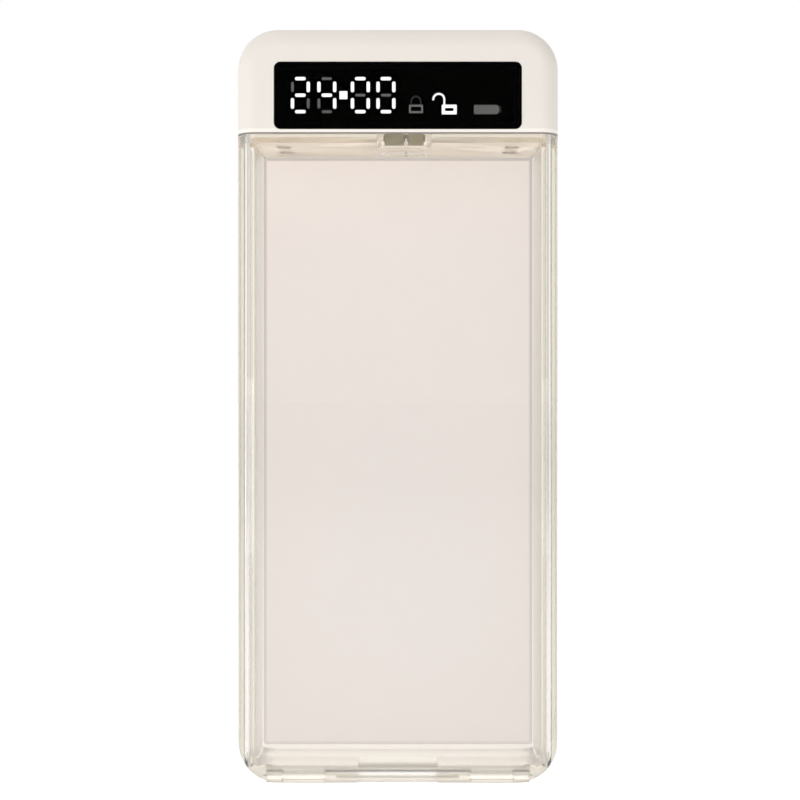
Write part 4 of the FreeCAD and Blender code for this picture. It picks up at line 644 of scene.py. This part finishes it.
def lit_fields(form):
    """The shining segments, the dot between the digits and the open padlock."""
    for outline in segment_outlines(True):
        plate(form, outline, FIELD_FRONT, FIELD_BACK)
    plate(form, rounded(DOT_X, DIGITS_Z, DOT_HALF, DOT_HALF, DOT_CORNER), FIELD_FRONT, FIELD_BACK)
    z = ICON_LOW + OPEN_TALL / 2
    outer = rounded(OPEN_X, z, OPEN_HALF, OPEN_TALL / 2, OPEN_CORNER)
    slot = rounded(OPEN_X, z, OPEN_SLOT_HALF, OPEN_SLOT_TALL / 2, OPEN_SLOT_CORNER)
    ring_plate(form, outer, slot, FIELD_FRONT, FIELD_BACK)
    foot = ICON_LOW + OPEN_TALL
    inner = OPEN_BOW_RADIUS - OPEN_BOW_STROKE
    bow = arc_band(OPEN_BOW_X, foot + OPEN_BOW_LEG, OPEN_BOW_RADIUS, inner, OPEN_BOW_TURN)
    bow = [(OPEN_BOW_X + OPEN_BOW_RADIUS, foot)] + bow + [(OPEN_BOW_X + inner, foot)]
    plate(form, bow, FIELD_FRONT, FIELD_BACK)


CLOSED_X = 5.1 * MM
CLOSED_LOW = ICON_LOW + 0.35 * MM
CLOSED_TALL = 2.35 * MM
CLOSED_HALF = 1.96 * MM
CLOSED_STROKE = 0.5 * MM
CLOSED_CORNER = 0.15 * MM
CLOSED_SLOT_TALL = 1.24 * MM
CLOSED_SLOT_CORNER = 0.12 * MM
CLOSED_BOW_RADIUS = 1.45 * MM
CLOSED_BOW_STROKE = 0.3 * MM
CLOSED_BOW_LEG = 0.85 * MM
CLOSED_BOW_GAP = 0.1 * MM


def closed_padlock_body(form):
    """The unlit closed padlock's frame."""
    z = CLOSED_LOW + CLOSED_TALL / 2
    outer = rounded(CLOSED_X, z, CLOSED_HALF, CLOSED_TALL / 2, CLOSED_CORNER)
    slot_half = CLOSED_HALF - CLOSED_STROKE
    slot = rounded(CLOSED_X, z, slot_half, CLOSED_SLOT_TALL / 2, CLOSED_SLOT_CORNER)
    ring_plate(form, outer, slot, FIELD_FRONT, FIELD_BACK)


def closed_padlock_bow(form):
    """Its bow, fainter still."""
    outer = CLOSED_BOW_RADIUS
    inner = CLOSED_BOW_RADIUS - CLOSED_BOW_STROKE
    foot = CLOSED_LOW + CLOSED_TALL + CLOSED_BOW_GAP
    arc = arc_band(CLOSED_X, foot + CLOSED_BOW_LEG, outer, inner, 180)
    half = len(arc) // 2
    outside = [(CLOSED_X + outer, foot)] + arc[:half] + [(CLOSED_X - outer, foot)]
    inside = [(CLOSED_X - inner, foot)] + arc[half:] + [(CLOSED_X + inner, foot)]
    plate(form, outside + inside, FIELD_FRONT, FIELD_BACK)


def dim_segments(form):
    """The digits' segments that aren't lit."""
    for outline in segment_outlines(False):
        plate(form, outline, FIELD_FRONT, FIELD_BACK)


GAUGE_X = 24.6 * MM
GAUGE_LOW = ICON_LOW + 0.05 * MM
GAUGE_HALF = 3.2 * MM
GAUGE_TALL = 2.56 * MM
GAUGE_CORNER = 0.5 * MM
GAUGE_NOSE = 0.75 * MM
# How far out and how high the nose's outline goes, as shares of its length and of half the height.
NOSE = ((0, 1), (0.35, 0.93), (0.7, 0.66), (0.92, 0.4), (1, 0.2))


def battery_gauge(form):
    """A rounded bar with a blunt nose."""
    z = GAUGE_LOW + GAUGE_TALL / 2
    upper = [(GAUGE_X + GAUGE_HALF + GAUGE_NOSE * out, z + GAUGE_TALL / 2 * up) for out, up in NOSE]
    lower = [(x, 2 * z - point_z) for x, point_z in reversed(upper)]
    corners = rounded(GAUGE_X, z, GAUGE_HALF, GAUGE_TALL / 2, GAUGE_CORNER)
    left_corners = corners[len(corners) // 4 : 3 * len(corners) // 4]
    plate(form, (upper + lower)[::-1] + left_corners, FIELD_FRONT, FIELD_BACK)


# Name, form, finish, colour, strength and how dark the light gets in its darker patches.
FIELDS = (
    ("display_lit_fields", lit_fields, "field_lit", WHITE, 2.2, 0.9),
    # The unlit segments and the closed padlock glow faintly as well: a painted glow, so that they show
    # grey behind the smoked cover.
    ("display_unlit_segments", dim_segments, "field_unlit", srgb(112, 112, 110), 1.4, 0.8),
    ("display_closed_padlock_body", closed_padlock_body, "field_frame", srgb(128, 128, 126), 1.1, 0.85),
    ("display_closed_padlock_bow", closed_padlock_bow, "field_faint", srgb(84, 84, 83), 0.5, 0.8),
    ("display_battery_gauge", battery_gauge, "field_gauge", srgb(122, 122, 120), 0.9, 0.92),
)
for name, build, *light in FIELDS:
    mesh_piece(name, build, glow(*light), "housing")


PRINT_GAP = 0.2 * MM
PRINT_BORDER = 2 * MM
PRINT_CORNER = 1.6 * MM
PRINT_OPENING_CORNER = 0.4 * MM
# How far before the back of the cover the print starts and ends.
PRINT_START = 0.05 * MM
PRINT_END = 0.02 * MM


def window_print(form):
    """The black border printed on the back of the display's cover."""
    low, high = (Vector(corner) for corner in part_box("display_window"))
    x, z = (low.x + high.x) / 2, (low.z + high.z) / 2
    half_width, half_height = (high.x - low.x) / 2, (high.z - low.z) / 2
    outer = rounded(x, z, half_width - PRINT_GAP, half_height - PRINT_GAP, PRINT_CORNER)
    opening_half = half_width - PRINT_BORDER
    inner = rounded(x, z, opening_half, half_height - PRINT_BORDER, PRINT_OPENING_CORNER)
    ring_plate(form, outer, inner, high.y - PRINT_START, high.y - PRINT_END)


mesh_piece("display_window_print", window_print, ink("print_black"), "housing")


# ---------------------------------------------------------------- stage and light
FLOOR_HALF = 60
FLOOR_DROP = 0.05 * MM


def paper(form):
    """A wide pale floor, a hair below the box's foot."""
    corners = ((-1, -1), (1, -1), (1, 1), (-1, 1))
    form.faces.new([form.verts.new((x * FLOOR_HALF, y * FLOOR_HALF, -FLOOR_DROP)) for x, y in corners])


# Two distances from the box's foot, between which the paper's light fades.
UNDER_FADE = (30 * MM, 60 * MM)
NEAR_FADE = (300 * MM, 1500 * MM)
# How squarely behind the box the paper has to lie to be lit, from not at all to in full.
BEHIND_FADE = (0.3, 0.9)
PAPER_SHADE = (0.72, 0.72, 0.72, 1)
PAPER_DARK = (0.955, 0.955, 0.955, 1)
PAPER_LIGHT = (0.975, 0.975, 0.975, 1)
UNDER_GLOW = 0.15
BRIGHT_GLOW = 0.2
SEEN_GLOW = 0.4
THROWN_GLOW = 0.4


def studio_floor():
    """White paper, lit from below near the box and behind it, as on a light table.

    The paper in front of the box also throws light up at the head's floor and the liner.
    """
    finish = Finish("studio_paper", Specular_IOR_Level=0.05)
    grain = finish.noise(1.2 * MM, detail=3)
    path = finish.tree.nodes.new("ShaderNodeLightPath")
    from_box = finish.measured("LENGTH")
    near = finish.span(from_box, 1, 0, *NEAR_FADE)
    behind = finish.span(finish.measured("DOT_PRODUCT", (0, 1, 0)), 0, 1, *BEHIND_FADE)
    seen = path.outputs["Is Camera Ray"]
    bright = finish.largest(near, behind, seen)
    white = finish.blend(finish.span(grain, 0, 1), PAPER_DARK, PAPER_LIGHT)
    finish.colour(finish.blend(bright, PAPER_SHADE, white))
    finish.roughness(finish.span(grain, 0.85, 0.95))
    finish.shader.inputs["Emission Color"].default_value = WHITE
    under = finish.span(from_box, UNDER_GLOW, 0, *UNDER_FADE)
    thrown = finish.combine(near, path.outputs["Is Diffuse Ray"], "MULTIPLY")
    strength = under
    for source, share in ((bright, BRIGHT_GLOW), (seen, SEEN_GLOW), (thrown, THROWN_GLOW)):
        strength = finish.combine(strength, finish.combine(source, share, "MULTIPLY"))
    finish.link(strength, finish.shader.inputs["Emission Strength"])
    floor = mesh_object("studio_floor", paper, finish.mat)


LAMP_COLOUR = (1, 0.995, 0.985)
ROOM_COLOUR = (1, 0.982, 0.942, 1)


def area_light(name, place, target, width, height, power):
    """A soft box that looks at target."""
    data = bpy.data.lights.new(name, "AREA")
    data.shape = "RECTANGLE"
    data.size = width
    data.size_y = height
    data.energy = power
    data.color = LAMP_COLOUR
    lamp = bpy.data.objects.new(name, data)
    lamp.location = place
    lamp.rotation_euler = (Vector(target) - Vector(place)).to_track_quat("-Z", "Y").to_euler()
    bpy.context.scene.collection.objects.link(lamp)


def facing(tree, direction, start, end, low, high):
    """How squarely the world's looked-at part lies towards a direction; start to end give low..high."""
    place = tree.nodes.new("ShaderNodeTexCoord")
    product = tree.nodes.new("ShaderNodeVectorMath")
    product.operation = "DOT_PRODUCT"
    product.inputs[1].default_value = Vector(direction).normalized()
    tree.links.new(place.outputs["Generated"], product.inputs[0])
    span = tree.nodes.new("ShaderNodeMapRange")
    span.interpolation_type = "SMOOTHSTEP"
    for key, number in (("From Min", start), ("From Max", end), ("To Min", low), ("To Max", high)):
        span.inputs[key].default_value = number
    tree.links.new(product.outputs["Value"], span.inputs["Value"])
    return span.outputs["Result"]


def multiplied(tree, first, second):
    """The product of two levels."""
    node = tree.nodes.new("ShaderNodeMath")
    node.operation = "MULTIPLY"
    tree.links.new(first, node.inputs[0])
    tree.links.new(second, node.inputs[1])
    return node.outputs[0]


def chosen(tree, factor, first, second):
    """first where factor is 0 and second where it is 1; each is a number or a socket."""
    node = tree.nodes.new("ShaderNodeMix")
    tree.links.new(factor, node.inputs["Factor"])
    for key, source in (("A", first), ("B", second)):
        if isinstance(source, (int, float)):
            node.inputs[key].default_value = source
        else:
            tree.links.new(source, node.inputs[key])
    return node.outputs["Result"]


def studio_world():
    """A white backdrop in dimmer surroundings, so that clear edges stand out, and soft light."""
    world = bpy.data.worlds.new("studio")
    world.use_nodes = True
    tree = world.node_tree
    path = tree.nodes.new("ShaderNodeLightPath").outputs
    sides = facing(tree, (-1, 0, 0), start=-0.9, end=0.4, low=0.56, high=0.9)
    overhead = facing(tree, (0, 0, 1), start=0.1, end=0.9, low=1.05, high=0.82)
    backdrop = facing(tree, (0, 1, 0), start=0.3, end=0.9, low=0.62, high=1.08)
    mirrored = chosen(tree, path["Is Diffuse Ray"], backdrop, multiplied(tree, sides, overhead))
    background = tree.nodes["Background"]
    warmth = tree.nodes.new("ShaderNodeMix")
    warmth.data_type = "RGBA"
    tree.links.new(path["Is Camera Ray"], warmth.inputs[0])
    warmth.inputs[MIX_FIRST].default_value = ROOM_COLOUR
    warmth.inputs[MIX_SECOND].default_value = WHITE
    tree.links.new(warmth.outputs[MIX_RESULT], background.inputs["Color"])
    tree.links.new(chosen(tree, path["Is Camera Ray"], mirrored, 1), background.inputs["Strength"])
    bpy.context.scene.world = world


studio_floor()
studio_world()
MIDDLE = (0, 0, 0.12)
HEAD = (0, 0, 0.18)
area_light("key_left", (-1.0, -0.9, 0.4), MIDDLE, width=0.9, height=1.0, power=1.5)
area_light("low_left", (-0.55, -0.45, 0.05), HEAD, width=0.4, height=0.15, power=0.4)
area_light("low_right", (0.55, -0.45, 0.05), HEAD, width=0.4, height=0.15, power=0.25)
area_light("top", (-0.2, -0.1, 1.5), MIDDLE, width=1.4, height=1.0, power=3.6)
bpy.context.scene.view_settings.view_transform = "Standard"
